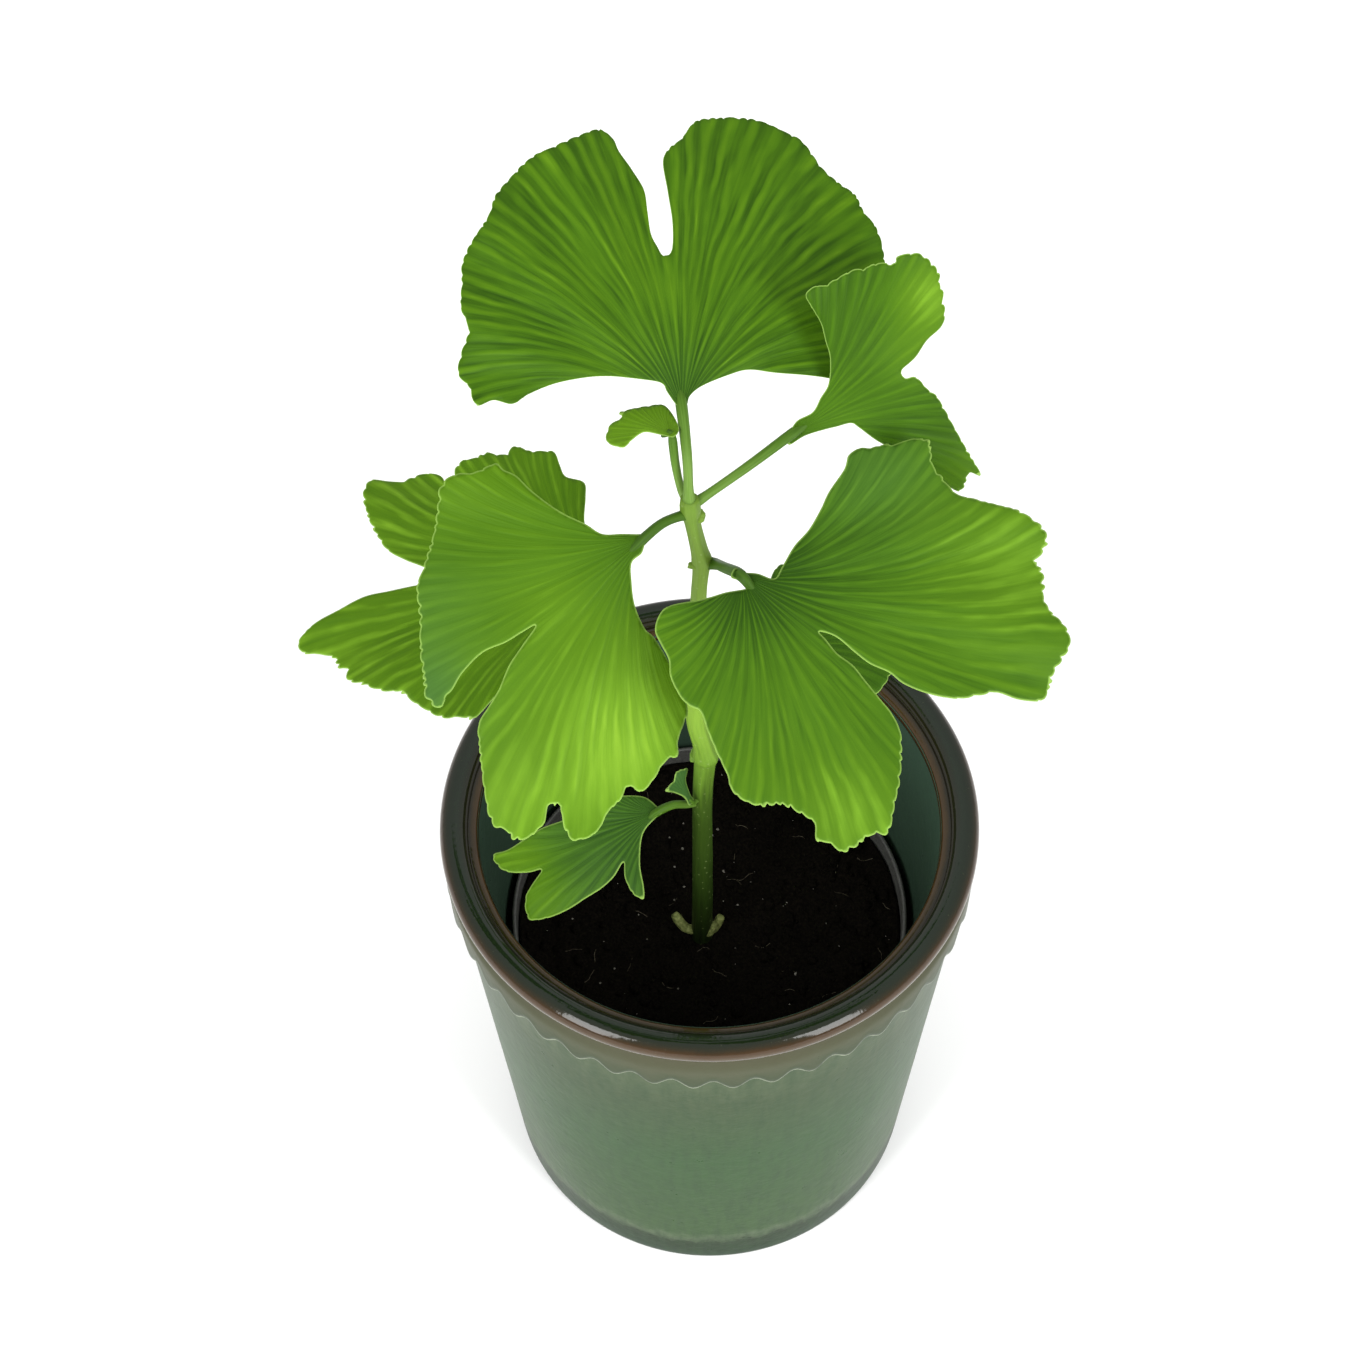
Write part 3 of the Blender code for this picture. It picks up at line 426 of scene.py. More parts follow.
def leaf_finish():
    """Fanning veins and streaks, which follow the vein number and the distance from the leaf's base."""
    look = Finish("leaf blade", Roughness=0.5, Specular_IOR_Level=0.08)
    fan = look.split("fan")
    vein, reach, margin = fan
    tone, cool, streak = look.split("tones")
    broad = look.drawn_out(fan, 11.0, 0.04, 0.0, 3.0)
    fine = look.drawn_out(fan, 38.0, 0.05, 4.0)
    thread = look.drawn_out(fan, 95.0, 0.05, 8.0, 1.0)
    warp = look.shift(look.drawn_out(fan, 4.0, 0.05, 12.0), 6.0)
    inner = look.calc("SINE", look.plus(look.times(vein, INNER_VEINS), warp))
    outer = look.calc("SINE", look.plus(look.times(vein, OUTER_VEINS), look.times(warp, 1.6)))
    far = look.minus(look.calc("DIVIDE", reach, VEINS_FORK_REACH), 1.0, clamp=True)
    wave = look.plus(inner, look.times(far, look.minus(outer, inner)))
    wave = look.calc("MAXIMUM", wave, -0.4)
    gaps = look.times(look.minus(look.drawn_out(fan, 9.0, 0.09, 16.0), 0.3, clamp=True), 2.6)
    ribs = look.times(wave, gaps)
    swing = look.plus(look.shift(broad, 0.7), look.shift(fine, 0.9), look.shift(thread, 0.4))
    swing = look.plus(swing, look.times(ribs, 0.75))
    mottle = look.shift(look.noise(look.place(), 0.07), 0.14)
    level = look.plus(tone, look.times(swing, streak), mottle, clamp=True)
    greens = (
        (0.0, (0.017, 0.055, 0.001)), (0.25, (0.043, 0.115, 0.002)), (0.5, (0.066, 0.155, 0.003)),
        (0.75, (0.117, 0.245, 0.01)), (1.0, (0.205, 0.37, 0.024)),
    )
    cold_greens = (
        (0.0, (0.017, 0.058, 0.015)), (0.5, (0.058, 0.15, 0.035)), (1.0, (0.16, 0.32, 0.08)),
    )
    colour = look.blend(cool, look.ramp(level, greens), look.ramp(level, cold_greens))
    colour = look.blend(look.times(look.number("under"), 0.5), colour, (0.16, 0.29, 0.06))
    edge = look.minus(1.0, look.calc("DIVIDE", margin, PALE_EDGE), clamp=True)
    colour = look.blend(look.times(edge, 0.75), colour, (0.3, 0.48, 0.1))
    height = look.plus(look.times(fine, 0.5), look.times(thread, 0.4), look.times(ribs, 0.5))
    return look.done(colour, height, 0.14)


def stalk_finish():
    look = Finish("leaf stalk", Roughness=0.45, Specular_IOR_Level=0.1)
    grain = look.drawn_out(look.split("fan"), 3.0, 0.12, 2.0, 3.0)
    level = look.plus(look.split("tones")[0], look.shift(grain, 0.5), clamp=True)
    greens = (
        (0.0, (0.02, 0.055, 0.004)), (0.4, (0.055, 0.125, 0.01)), (0.7, (0.1, 0.19, 0.028)),
        (1.0, (0.18, 0.29, 0.07)),
    )
    return look.done(look.ramp(level, greens), grain, 0.1)


def stem_finish():
    """Nearly black at its foot, partly its own dark bark and partly painted shade inside the pot, and light
    from the middle up, with lengthwise streaks and paler specks.
    """
    look = Finish("green bark", Roughness=0.5, Specular_IOR_Level=0.15)
    fan = look.split("fan")
    streaks = look.drawn_out(fan, 2.6, 0.05, 1.0, 4.0)
    rise = look.calc("DIVIDE", look.minus(fan[1], SOIL_TOP_Z), STEM_ROUTE[-1][2] - SOIL_TOP_Z)
    level = look.plus(rise, look.shift(streaks, 0.16), clamp=True)
    # The ramp's nearly black low end is partly the bark's own dark foot and partly painted shade inside the
    # pot.
    greens = (
        (0.0, (0.008, 0.014, 0.003)), (0.12, (0.019, 0.04, 0.005)), (0.36, (0.038, 0.078, 0.008)),
        (0.46, (0.11, 0.21, 0.02)), (0.56, (0.19, 0.33, 0.034)), (0.85, (0.17, 0.28, 0.032)),
        (1.0, (0.1, 0.18, 0.018)),
    )
    specks = look.calc("LESS_THAN", look.spots(look.place(), 0.55), 0.16)
    colour = look.blend(look.times(specks, 0.35), look.ramp(level, greens), (0.26, 0.34, 0.12))
    return look.done(colour, streaks, 0.35)


def shoot_finish():
    look = Finish("dead shoot", Roughness=0.7, Specular_IOR_Level=0.25)
    grain = look.drawn_out(look.split("fan"), 1.6, 0.8, 4.0, 4.0)
    browns = ((0.3, (0.07, 0.08, 0.02)), (0.55, (0.18, 0.21, 0.06)), (0.75, (0.32, 0.33, 0.13)))
    return look.done(look.ramp(grain, browns), grain, 0.3)


def glaze_finish(name, gloss, smooth):
    """A reactive glaze: its colour follows how it ran over the lip, the band and the body, with painted
    highlights along the hem's lower edge and the foot's rounding, and painted shade down the inner wall.
    """
    look = Finish(name, Specular_IOR_Level=gloss, IOR=1.5)
    place = look.place()
    zone = look.number("zone")
    runs = look.noise(place, 0.16, 4.0, 0.6)
    fine = look.noise(place, 0.9, 3.0, 0.6)
    level = look.plus(zone, look.shift(runs, 0.16), look.shift(fine, 0.1))
    level = look.calc("DIVIDE", level, 10.0, clamp=True)
    # The ramp runs over the zone divided by ten. Its pale stop at 0.088 is a painted highlight along the
    # foot's rounding, its cream stops at 0.313 and 0.324 are a painted highlight along the hem's lower edge,
    # and its darkening from 0.73 to 1.0 is painted shade down the inner wall into the pot.
    glaze_and_painted_light = (
        (0.00, (0.01, 0.03, 0.015)), (0.06, (0.02, 0.04, 0.02)), (0.083, (0.022, 0.036, 0.018)),
        (0.088, (0.085, 0.118, 0.066)), (0.095, (0.042, 0.079, 0.03)), (0.2, (0.036, 0.075, 0.029)),
        (0.27, (0.045, 0.068, 0.033)), (0.298, (0.066, 0.09, 0.048)), (0.308, (0.05, 0.07, 0.035)),
        (0.313, (0.26, 0.29, 0.21)), (0.324, (0.24, 0.27, 0.19)), (0.332, (0.036, 0.05, 0.028)),
        (0.345, (0.05, 0.064, 0.037)), (0.362, (0.07, 0.076, 0.047)), (0.4, (0.06, 0.055, 0.033)),
        (0.42, (0.06, 0.045, 0.026)), (0.445, (0.058, 0.04, 0.02)), (0.466, (0.046, 0.023, 0.007)),
        (0.48, (0.028, 0.014, 0.003)), (0.494, (0.014, 0.011, 0.003)), (0.51, (0.006, 0.009, 0.003)),
        (0.53, (0.005, 0.01, 0.004)), (0.555, (0.008, 0.014, 0.007)), (0.575, (0.01, 0.013, 0.006)),
        (0.6, (0.014, 0.013, 0.004)), (0.626, (0.012, 0.01, 0.003)), (0.645, (0.032, 0.019, 0.005)),
        (0.675, (0.055, 0.028, 0.009)), (0.7, (0.018, 0.017, 0.009)), (0.73, (0.05, 0.092, 0.062)),
        (0.8, (0.032, 0.058, 0.038)), (1.00, (0.01, 0.02, 0.014)),
    )
    colour = look.ramp(level, glaze_and_painted_light)
    x, y, z = look.node("SeparateXYZ", Vector=place).outputs
    drips = look.noise(look.join(x, y, look.times(z, 0.2)), 0.5, 4.0, 0.6)
    drips = look.times(look.minus(drips, 0.4, clamp=True), 2.2, clamp=True)
    outside = look.calc("LESS_THAN", zone, BODY_END_ZONE)
    colour = look.blend(look.times(drips, outside), colour, (0.03, 0.056, 0.026))
    pin = look.calc("LESS_THAN", look.spots(place, 0.42), 0.07)
    colour = look.blend(look.times(pin, 0.25), colour, (0.05, 0.06, 0.03))
    height = look.plus(look.times(look.noise(place, 0.35), 0.6), look.times(fine, 0.15))
    return look.done(colour, height, 0.12, look.plus(smooth, look.times(runs, 0.08)))


def plastic_finish():
    look = Finish("moulded black plastic", Specular_IOR_Level=0.45)
    grain = look.noise(look.place(), 2.2, 3.0)
    colour = look.ramp(grain, ((0.3, (0.04, 0.04, 0.037)), (0.7, (0.085, 0.085, 0.078))))
    return look.done(colour, grain, 0.05, look.plus(0.3, look.times(grain, 0.25)))


def soil_finish(name, dark, light, scale):
    look = Finish(name, Roughness=0.95, Specular_IOR_Level=0.05)
    grain = look.noise(look.place(), scale, 5.0, 0.65)
    colour = look.ramp(grain, ((0.35, dark), (0.75, light)))
    return look.done(colour, grain, 0.5)


def floor_finish():
    look = Finish("studio floor", Roughness=0.9, Specular_IOR_Level=0.0)
    cloud = look.noise(look.place(), 0.002, 1.0)
    return look.done(look.ramp(cloud, ((0.0, (0.93, 0.93, 0.93)), (1.0, (0.95, 0.95, 0.95)))))


def skin(rings):
    """Points and faces over a row of rings of equal length, where a ring of one point is a pole."""
    points = list(rings[0])
    faces = []
    for last, ring in zip(rings[:-1], rings[1:]):
        high = len(points)
        low = high - len(last)
        points.extend(ring)
        count = max(len(ring), len(last))
        for j in range(count):
            k = (j + 1) % count
            if len(last) == 1:
                faces.append((low, high + k, high + j))
            elif len(ring) == 1:
                faces.append((low + j, low + k, high))
            else:
                faces.append((low + j, low + k, high + k, high + j))
    return points, faces


def add_object(name, data):
    made = bpy.data.objects.new(name, data)
    bpy.context.scene.collection.objects.link(made)
    return made


def graft(points, faces, more_points, more_faces):
    """Add more points and faces to those of a piece."""
    faces.extend(tuple(len(points) + i for i in face) for face in more_faces)
    points.extend(more_points)


def add_piece(name, points, faces, finishes, nodes=(), kinds=None, attributes=None):
    """A smooth-shaded piece from points in millimetres, riding on the one body."""
    mesh = bpy.data.meshes.new(name)
    mesh.from_pydata([(p[0] * MM, p[1] * MM, p[2] * MM) for p in points], [], faces)
    mesh.shade_smooth()
    for finish in finishes:
        mesh.materials.append(finish)
    if kinds is not None:
        mesh.polygons.foreach_set("material_index", kinds)
    for key, values in (attributes or {}).items():
        if isinstance(values[0], (int, float)):
            mesh.attributes.new(key, "FLOAT", "POINT").data.foreach_set("value", values)
        else:
            flat = [number for row in values for number in row]
            mesh.attributes.new(key, "FLOAT_VECTOR", "POINT").data.foreach_set("vector", flat)
    piece = add_object(name, mesh)
    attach(piece, "root")
    if nodes:
        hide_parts(*nodes)


def ripple(x, y, z):
    """Smooth noise between -1 and 1."""
    return noise.noise(Vector((x, y, z)))


def toward(angle):
    """A level direction, with the angle in radians from +X."""
    return Vector((math.cos(angle), math.sin(angle), 0))


def circle(radius, segments):
    """Points (x, y) round the axis."""
    angles = [2 * math.pi * i / segments for i in range(segments)]
    return [(radius * math.cos(a), radius * math.sin(a)) for a in angles]


def arc(centre, radius, start, end, count):
    steps = [math.radians(start + (end - start) * i / (count - 1)) for i in range(count)]
    return [(centre[0] + radius * math.cos(a), centre[1] + radius * math.sin(a)) for a in steps]


def line(first, last, count):
    shares = [i / (count - 1) for i in range(count)]
    return [tuple(a + (b - a) * s for a, b in zip(first, last)) for s in shares]


def smooth_route(points, step, closed=False, fixed=0):
    """Points on a smooth curve through the given ones, about one step apart or a fixed number a span."""
    count = len(points)
    made = []
    for i in range(count if closed else count - 1):
        four = [points[(i + k) % count if closed else min(max(i + k, 0), count - 1)] for k in (-1, 0, 1, 2)]
        a, b, c, d = (Vector(p) for p in four)
        pieces = fixed or max(1, round((c - b).length / step))
        for j in range(pieces):
            t = j / pieces
            square = (2 * a - 5 * b + 4 * c - d) * t**2
            cube = (3 * b - a - 3 * c + d) * t**3
            made.append(0.5 * (2 * b + (c - a) * t + square + cube))
    if not closed:
        made.append(Vector(points[-1]))
    return made


def body_radius(height):
    widening = (BODY_TOP[0] - BODY_FOOT[0]) * (height - BODY_FOOT[1])
    return BODY_FOOT[0] + widening / (BODY_TOP[1] - BODY_FOOT[1])


def pot_profile(wave):
    """Radius, height and glaze zone, up the outside and down the inside; wave is 1 at the hem's crests."""
    hem = HEM_MIDDLE_Z + HEM_WAVE * wave
    made = []

    def bend(points, pieces):
        return [p.to_tuple() for p in smooth_route(points, 1.0, fixed=pieces)]

    def run(path, first_zone, last_zone):
        for i, (radius, height) in enumerate(path[:-1]):
            made.append((radius, height, first_zone + (last_zone - first_zone) * i / (len(path) - 1)))

    run(line((6, 0), (BASE_RADIUS, 0), 8), 0.0, 0.2)
    run(bend([(BASE_RADIUS, 0), (53.9, 1.4), BODY_FOOT], 4), 0.2, 0.7)
    tuck = (body_radius(hem - HEM_TUCK), hem - HEM_TUCK)
    run(line(BODY_FOOT, tuck, 44), 0.7, 3.0)
    run(bend([tuck, (body_radius(hem) + 0.1, hem - 0.25), (HEM_RADIUS, hem)], 4), 3.0, 3.1)
    run(arc((HEM_RADIUS, hem + HEM_ROUNDING), HEM_ROUNDING, -90, 0, 7), 3.1, 3.3)
    edge = (HEM_RADIUS + HEM_ROUNDING, hem + HEM_ROUNDING)
    run(bend([edge, (66.95, hem + 2.8), (BAND_RADIUS, BAND_BEND_Z)], 5), 3.3, 3.6)
    run(bend([(BAND_RADIUS, BAND_BEND_Z), *NECK], 4), 3.6, 4.0)
    run(arc(ROLL_CENTRE, ROLL_RADIUS, -46, 154, 30), 4.0, 6.0)
    run(arc(BEAD_CENTRE, BEAD_RADIUS, 62, 190, 14), 6.1, 7.0)
    run(bend([BEAD_FOOT, INNER_TOP, INNER_MIDDLE, INNER_FOOT], 9), 7.0, 9.0)
    run(bend([INNER_FOOT, (45.6, 9.2), FLOOR_EDGE], 3), 9.0, 9.3)
    run(line(FLOOR_EDGE, (4, FLOOR_Z), 8), 9.3, 10.0)
    return made


def build_pot():
    rows = []
    for i in range(POT_SEGMENTS):
        angle = 2 * math.pi * i / POT_SEGMENTS
        rows.append((angle, pot_profile(math.cos(HEM_WAVES * (angle + math.pi / 2)))))
    rings = [[(0.0, 0.0, 0.0)]]
    zones = [0.0]
    for j in range(len(rows[0][1])):
        ring = []
        for angle, profile in rows:
            radius, height, zone = profile[j]
            uneven = ripple(math.cos(angle) * 2.2, math.sin(angle) * 2.2, height * 0.022)
            radius += POT_UNEVENNESS * uneven * min(1.0, height / 8)
            ring.append((radius * math.cos(angle), radius * math.sin(angle), height))
            zones.append(zone)
        rings.append(ring)
    rings.append([(0.0, 0.0, FLOOR_Z)])
    zones.append(10.0)
    points, faces = skin(rings)
    kinds = [1 if LIP_LOW_ZONE < zones[face[0]] < LIP_HIGH_ZONE else 0 for face in faces]
    finishes = [glaze_finish(*BODY_GLAZE), glaze_finish(*LIP_GLAZE)]
    add_piece("pot_glazed", points, faces, finishes, ["cover_pot"], kinds, dict(zone=zones))


def turned(profile, segments):
    """Points and faces of a profile that begins and ends on the axis, turned about it."""
    rings = [[(0.0, 0.0, profile[0][1])]]
    for radius, height in profile[1:-1]:
        rings.append([(x, y, height) for x, y in circle(radius, segments)])
    rings.append([(0.0, 0.0, profile[-1][1])])
    return skin(rings)


def build_nursery_pot():
    top = NURSERY_TOP_RADIUS
    wall = NURSERY_WALL
    neck = top - COLLAR_STEP
    foot = NURSERY_BASE_RADIUS
    base = NURSERY_BASE_Z
    profile = [(0, base + 1), (foot - 8, base + 1), (foot - 7, base), (foot - 1, base), (foot, base + 1.2)]
    profile += line((foot + 0.2, base + 3), (neck, COLLAR_LOW_Z - 1.4), 12)
    profile += [(top - 0.4, COLLAR_LOW_Z - 1.1), (top - 0.2, COLLAR_LOW_Z - 0.6)]
    profile += [(top - 0.1, NURSERY_TOP_Z - 2.2)]
    profile += arc((top - wall / 2, NURSERY_TOP_Z - wall / 2), wall / 2, 0, 180, 9)
    profile += [(top - wall - 0.2, COLLAR_LOW_Z), (neck - wall, COLLAR_LOW_Z - 1.5)]
    profile += [(foot - 2.2, NURSERY_FLOOR_Z), (0, NURSERY_FLOOR_Z)]
    points, faces = turned(profile, NURSERY_SEGMENTS)
    add_piece("nursery_moulded", points, faces, [plastic_finish()], ["nursery_pot"])


def stem_at(height):
    """The stem's centre and radius at a height."""
    for low, high in zip(STEM_ROUTE[:-1], STEM_ROUTE[1:]):
        if height <= high[2]:
            share = (height - low[2]) / (high[2] - low[2])
            x, y, _, radius = (a + (b - a) * share for a, b in zip(low, high))
            return Vector((x, y, height)), radius
    return Vector(STEM_ROUTE[-1][:3]), STEM_ROUTE[-1][3]


def soil_height(x, y):
    """Crumbly ground in four sizes of lump, calmed round the stem."""
    lumps = 1.1 * ripple(x * 0.11, y * 0.11, 3.7)
    lumps += 0.9 * ripple(x * 0.3, y * 0.3, 8.1)
    lumps += 0.6 * abs(ripple(x * 0.75, y * 0.75, 1.3))
    lumps += 0.35 * ripple(x * 1.7, y * 1.7, 5.9)
    stem, _ = stem_at(SOIL_TOP_Z)
    calm = min(1.0, max(0.25, (math.hypot(x - stem.x, y - stem.y) - 3) / 8))
    return SOIL_TOP_Z + lumps * calm - 0.2


def clod(points, faces, centre, size, draw, level):
    """Add one rough lump to the points and faces."""
    shape = bmesh.new()
    bmesh.ops.create_icosphere(shape, subdivisions=level, radius=1.0)
    shift = draw.uniform(0, 90)
    stretch = Vector((draw.uniform(0.7, 1.3), draw.uniform(0.7, 1.3), draw.uniform(0.5, 0.9)))
    start = len(points)
    for vertex in shape.verts:
        swell = 1 + 0.5 * noise.noise(vertex.co * 1.4 + Vector((shift, 0, 0)))
        points.append(Vector(a * b for a, b in zip(vertex.co, stretch)) * size * swell + centre)
    shape.verts.index_update()
    faces.extend(tuple(start + v.index for v in face.verts) for face in shape.faces)
    shape.free()


def ground_point(draw):
    """A random place on the soil, clear of the stem and the nursery pot."""
    stem, _ = stem_at(SOIL_TOP_Z)
    while True:
        angle = draw.uniform(0, 2 * math.pi)
        radius = SCATTER_RADIUS * math.sqrt(draw.random())
        x, y = radius * math.cos(angle), radius * math.sin(angle)
        if math.hypot(x - stem.x, y - stem.y) > STEM_CLEARANCE:
            return Vector((x, y, soil_height(x, y)))


def build_soil():
    rings = [[(0.0, 0.0, NURSERY_FLOOR_Z + 0.3)]]
    for radius, height in SOIL_SIDE:
        rings.append([(x, y, height) for x, y in circle(radius, SOIL_SEGMENTS)])
    count = round(SOIL_RADIUS / SOIL_RING_STEP)
    for i in range(count, 0, -1):
        spots = circle(SOIL_RADIUS * i / count, SOIL_SEGMENTS)
        rings.append([(x, y, soil_height(x, y)) for x, y in spots])
    rings.append([(0.0, 0.0, soil_height(0.0, 0.0))])
    points, faces = skin(rings)
    peat = soil_finish("peat", (0.001, 0.0008, 0.0005), (0.008, 0.0062, 0.004), 1.4)
    pale = soil_finish("pale specks", (0.1, 0.09, 0.07), (0.42, 0.4, 0.36), 2.5)
    add_piece("soil_bed", points, faces, [peat], ["soil"])
    scatter("soil_clods", CLOD_COUNT, CLOD_SIZES, 2, peat)
    scatter("soil_specks", SPECK_COUNT, SPECK_SIZES, 1, pale)
    build_fibres()


def scatter(name, count, sizes, level, finish):
    """Lumps of one kind over the soil, half sunk in it."""
    draw = random.Random(SOIL_SEED + count)
    points = []
    faces = []
    for _ in range(count):
        size = sizes[0] + (sizes[1] - sizes[0]) * draw.random() ** 2
        clod(points, faces, ground_point(draw) + Vector((0, 0, size * 0.1)), size, draw, level)
    add_piece(name, points, faces, [finish])


def tube_rings(route, radii, sides, swell=None):
    """Rings of points round a route, turned as little as possible from one to the next."""
    rings = [[route[0]]]
    last = len(route) - 1
    across = None
    for i, place in enumerate(route):
        ahead = (route[min(i + 1, last)] - route[max(i - 1, 0)]).normalized()
        across = ahead.orthogonal() if across is None else across - ahead * across.dot(ahead)
        across.normalize()
        side = ahead.cross(across)
        ring = []
        for k in range(sides):
            angle = 2 * math.pi * k / sides
            radius = radii[i] * (swell(angle, i) if swell else 1.0)
            ring.append(place + (across * math.cos(angle) + side * math.sin(angle)) * radius)
        rings.append(ring)
    return rings + [[route[-1]]]


def ring_fan(rings, lengths):
    """The fan attribute along a tube: a turn that meets itself, how far along, and a zero."""
    rows = [(0.0, lengths[0], 0.0)]
    for ring, length in zip(rings[1:-1], lengths):
        rows.extend((abs(2 * k / len(ring) - 1) * math.pi, length, 0.0) for k in range(len(ring)))
    return rows + [(0.0, lengths[-1], 0.0)]


def build_fibres():
    """Pale root hairs and bark threads lying on the soil."""
    draw = random.Random(SOIL_SEED)
    points = []
    faces = []
    for _ in range(FIBRE_COUNT):
        place = ground_point(draw)
        heading = draw.uniform(0, 2 * math.pi)
        bends = []
        for _ in range(5):
            bends.append(Vector((place.x, place.y, soil_height(place.x, place.y) + 0.15)))
            heading += draw.uniform(-0.7, 0.7)
            place = place + toward(heading) * draw.uniform(0.6, 1.5)
            if math.hypot(place.x, place.y) > SCATTER_RADIUS:
                break
        if len(bends) < 3:
            continue
        route = smooth_route(bends, 0.7)
        radii = [draw.uniform(0.05, 0.11)] * len(route)
        graft(points, faces, *skin(tube_rings(route, radii, 5)))
    finish = soil_finish("root fibres", (0.03, 0.024, 0.016), (0.16, 0.14, 0.1), 1.5)
    add_piece("soil_fibres", points, faces, [finish])


def build_stem():
    """The shoot with its buds, and the dead shoots at its foot in a finish of their own."""
    route = smooth_route(STEM_ROUTE, STEM_STEP)
    places = [p.xyz for p in route]
    radii = [p.w for p in route]

    def ribbed(angle, i):
        height = places[i].z
        shown = min(1.0, max(0.0, (height - RIBS_LOW_Z) / RIBS_FADE))
        ribs = 0.022 * math.sin(7 * angle + height * 0.03) * shown
        return 1 + ribs + 0.035 * ripple(math.cos(angle) * 1.6, math.sin(angle) * 1.6, height * 0.1)

    rings = tube_rings(places, radii, STEM_SIDES, ribbed)
    points, faces = skin(rings)
    fan = ring_fan(rings, [p.z for p in places])
    draw = random.Random(STEM_SEED)
    for heading, height, radius in STEM_BUDS:
        centre, girth = stem_at(height)
        start = len(points)
        place = centre + toward(math.radians(heading)) * (girth - radius * 0.3)
        clod(points, faces, place, radius * 0.9, draw, 3)
        fan.extend((1.0, height, 0.0) for _ in range(len(points) - start))
    kinds = [0] * len(faces)
    for heading, reach, rise, radius in BASAL_SHOOTS:
        centre, _ = stem_at(SOIL_TOP_Z + SHOOTS_ABOVE_SOIL)
        away = toward(math.radians(heading)) * reach
        foot = centre - Vector((0, SHOOTS_AHEAD, 0))
        bends = [centre, foot + away * 0.6 + Vector((0, 0, rise * 0.3)), foot + away + Vector((0, 0, rise))]
        way = smooth_route(bends, 0.4)
        ends = [radius * (1 - 0.25 * max(0.0, i / len(way) - 0.8) * 5) for i in range(len(way))]
        shoot = tube_rings(way, ends, SHOOT_SIDES)
        graft(points, faces, *skin(shoot))
        fan.extend(ring_fan(shoot, [SHOOT_GRAIN_STEP * i for i in range(len(way))]))
    kinds += [1] * (len(faces) - len(kinds))
    finishes = [stem_finish(), shoot_finish()]
    add_piece("stem_bark", points, faces, finishes, ["stem"], kinds, dict(fan=fan))


def toothed(outline, leaf, draw):
    """Rounded teeth of uneven width on the broad margin, fading out along the sides and slits."""
    made = []
    count = len(outline)
    width, depth, run = 2.0, leaf["teeth"], 0.0
    for i, point in enumerate(outline):
        along = outline[(i + 1) % count] - outline[i - 1]
        across = Vector((along.y, -along.x)).normalized()
        outward = point.normalized()
        facing = min(1.0, max(0.0, abs(across.dot(outward)) * 3 - 1.2))
        broad = facing * min(1.0, max(0.0, point.length / leaf["reach"] * 4 - 1.8))
        run += (outline[(i + 1) % count] - point).length
        if run > width:
            run = 0.0
            width = draw.uniform(1.1, 3.4)
            depth = leaf["teeth"] * draw.uniform(0.3, 1.5)
        bump = abs(math.sin(math.pi * run / width)) ** 0.6 - 0.6
        made.append(point + outward * depth * bump * broad)
    return made


def margin_distance(spots, outline):
    """For each spot its distance to the outline, negative outside it."""
    a = np.array([p.to_tuple() for p in outline])
    b = np.roll(a, -1, axis=0)
    edge = b - a
    nearest = np.full(len(spots), 1e9)
    inside = np.zeros(len(spots), dtype=bool)
    for start, end, along in zip(a, b, edge):
        share = np.clip(((spots - start) @ along) / (along @ along + 1e-12), 0, 1)
        nearest = np.minimum(nearest, np.hypot(*(spots - start - share[:, None] * along).T))
        crosses = (start[1] > spots[:, 1]) != (end[1] > spots[:, 1])
        rise = along[1] if along[1] else 1e-12
        inside ^= crosses & (spots[:, 0] < start[0] + along[0] * (spots[:, 1] - start[1]) / rise)
    return np.where(inside, nearest, -nearest)


def blade_height(leaf, x, y):
    """How far the blade stands off its plane: sagging tip, cupped sides and pleats along the veins."""
    reach = leaf["reach"]
    angle = math.atan2(x, y)
    share = min(1.3, math.hypot(x, y) / reach)
    sag = -leaf["sag"] * (y / reach) * abs(y / reach)
    cup = -leaf["cup"] * (x / reach) ** 2
    return sag + cup + leaf["pleat"] * math.sin(leaf["pleats"] * angle) * share**1.5


def vein_number(leaf, x, y):
    """A number that stays the same along a vein: veins leave the base forward and bend outward."""
    share = min(1.2, math.hypot(x, y) / leaf["reach"])
    return math.atan2(x, y) / (0.62 + 0.38 * share**0.8)


def ridge_height(leaf, x, y, seed):
    """Uneven ridges along the veins and soft unevenness across the blade."""
    vein = vein_number(leaf, x, y)
    radius = math.hypot(x, y)
    share = min(1.0, radius / (0.6 * leaf["reach"]))
    ridges = ripple(vein * 15, radius * 0.03, seed)
    ridges += 0.45 * ripple(vein * 36, radius * 0.04, seed + 3)
    lumps = ripple(x * 0.07, y * 0.07, seed + 7)
    return (leaf["ridge"] * ridges + 0.5 * lumps * min(1.0, leaf["reach"] / 40)) * share


def leaf_frame(leaf):
    """The blade's place: x to its right, y forward along its middle and z out of its upper face."""
    heading, rise, roll = (math.radians(leaf[key]) for key in ("heading", "rise", "roll"))
    forward = Vector((math.cos(heading) * math.cos(rise), math.sin(heading) * math.cos(rise), math.sin(rise)))
    upper = Vector((-math.cos(heading) * math.sin(rise), -math.sin(heading) * math.sin(rise), math.cos(rise)))
    right = forward.cross(upper)
    turned_right = right * math.cos(roll) - upper * math.sin(roll)
    turned_up = upper * math.cos(roll) + right * math.sin(roll)
    axes = Matrix((turned_right, forward, turned_up)).transposed().to_4x4()
    return Matrix.Translation(Vector(leaf["base"])) @ axes


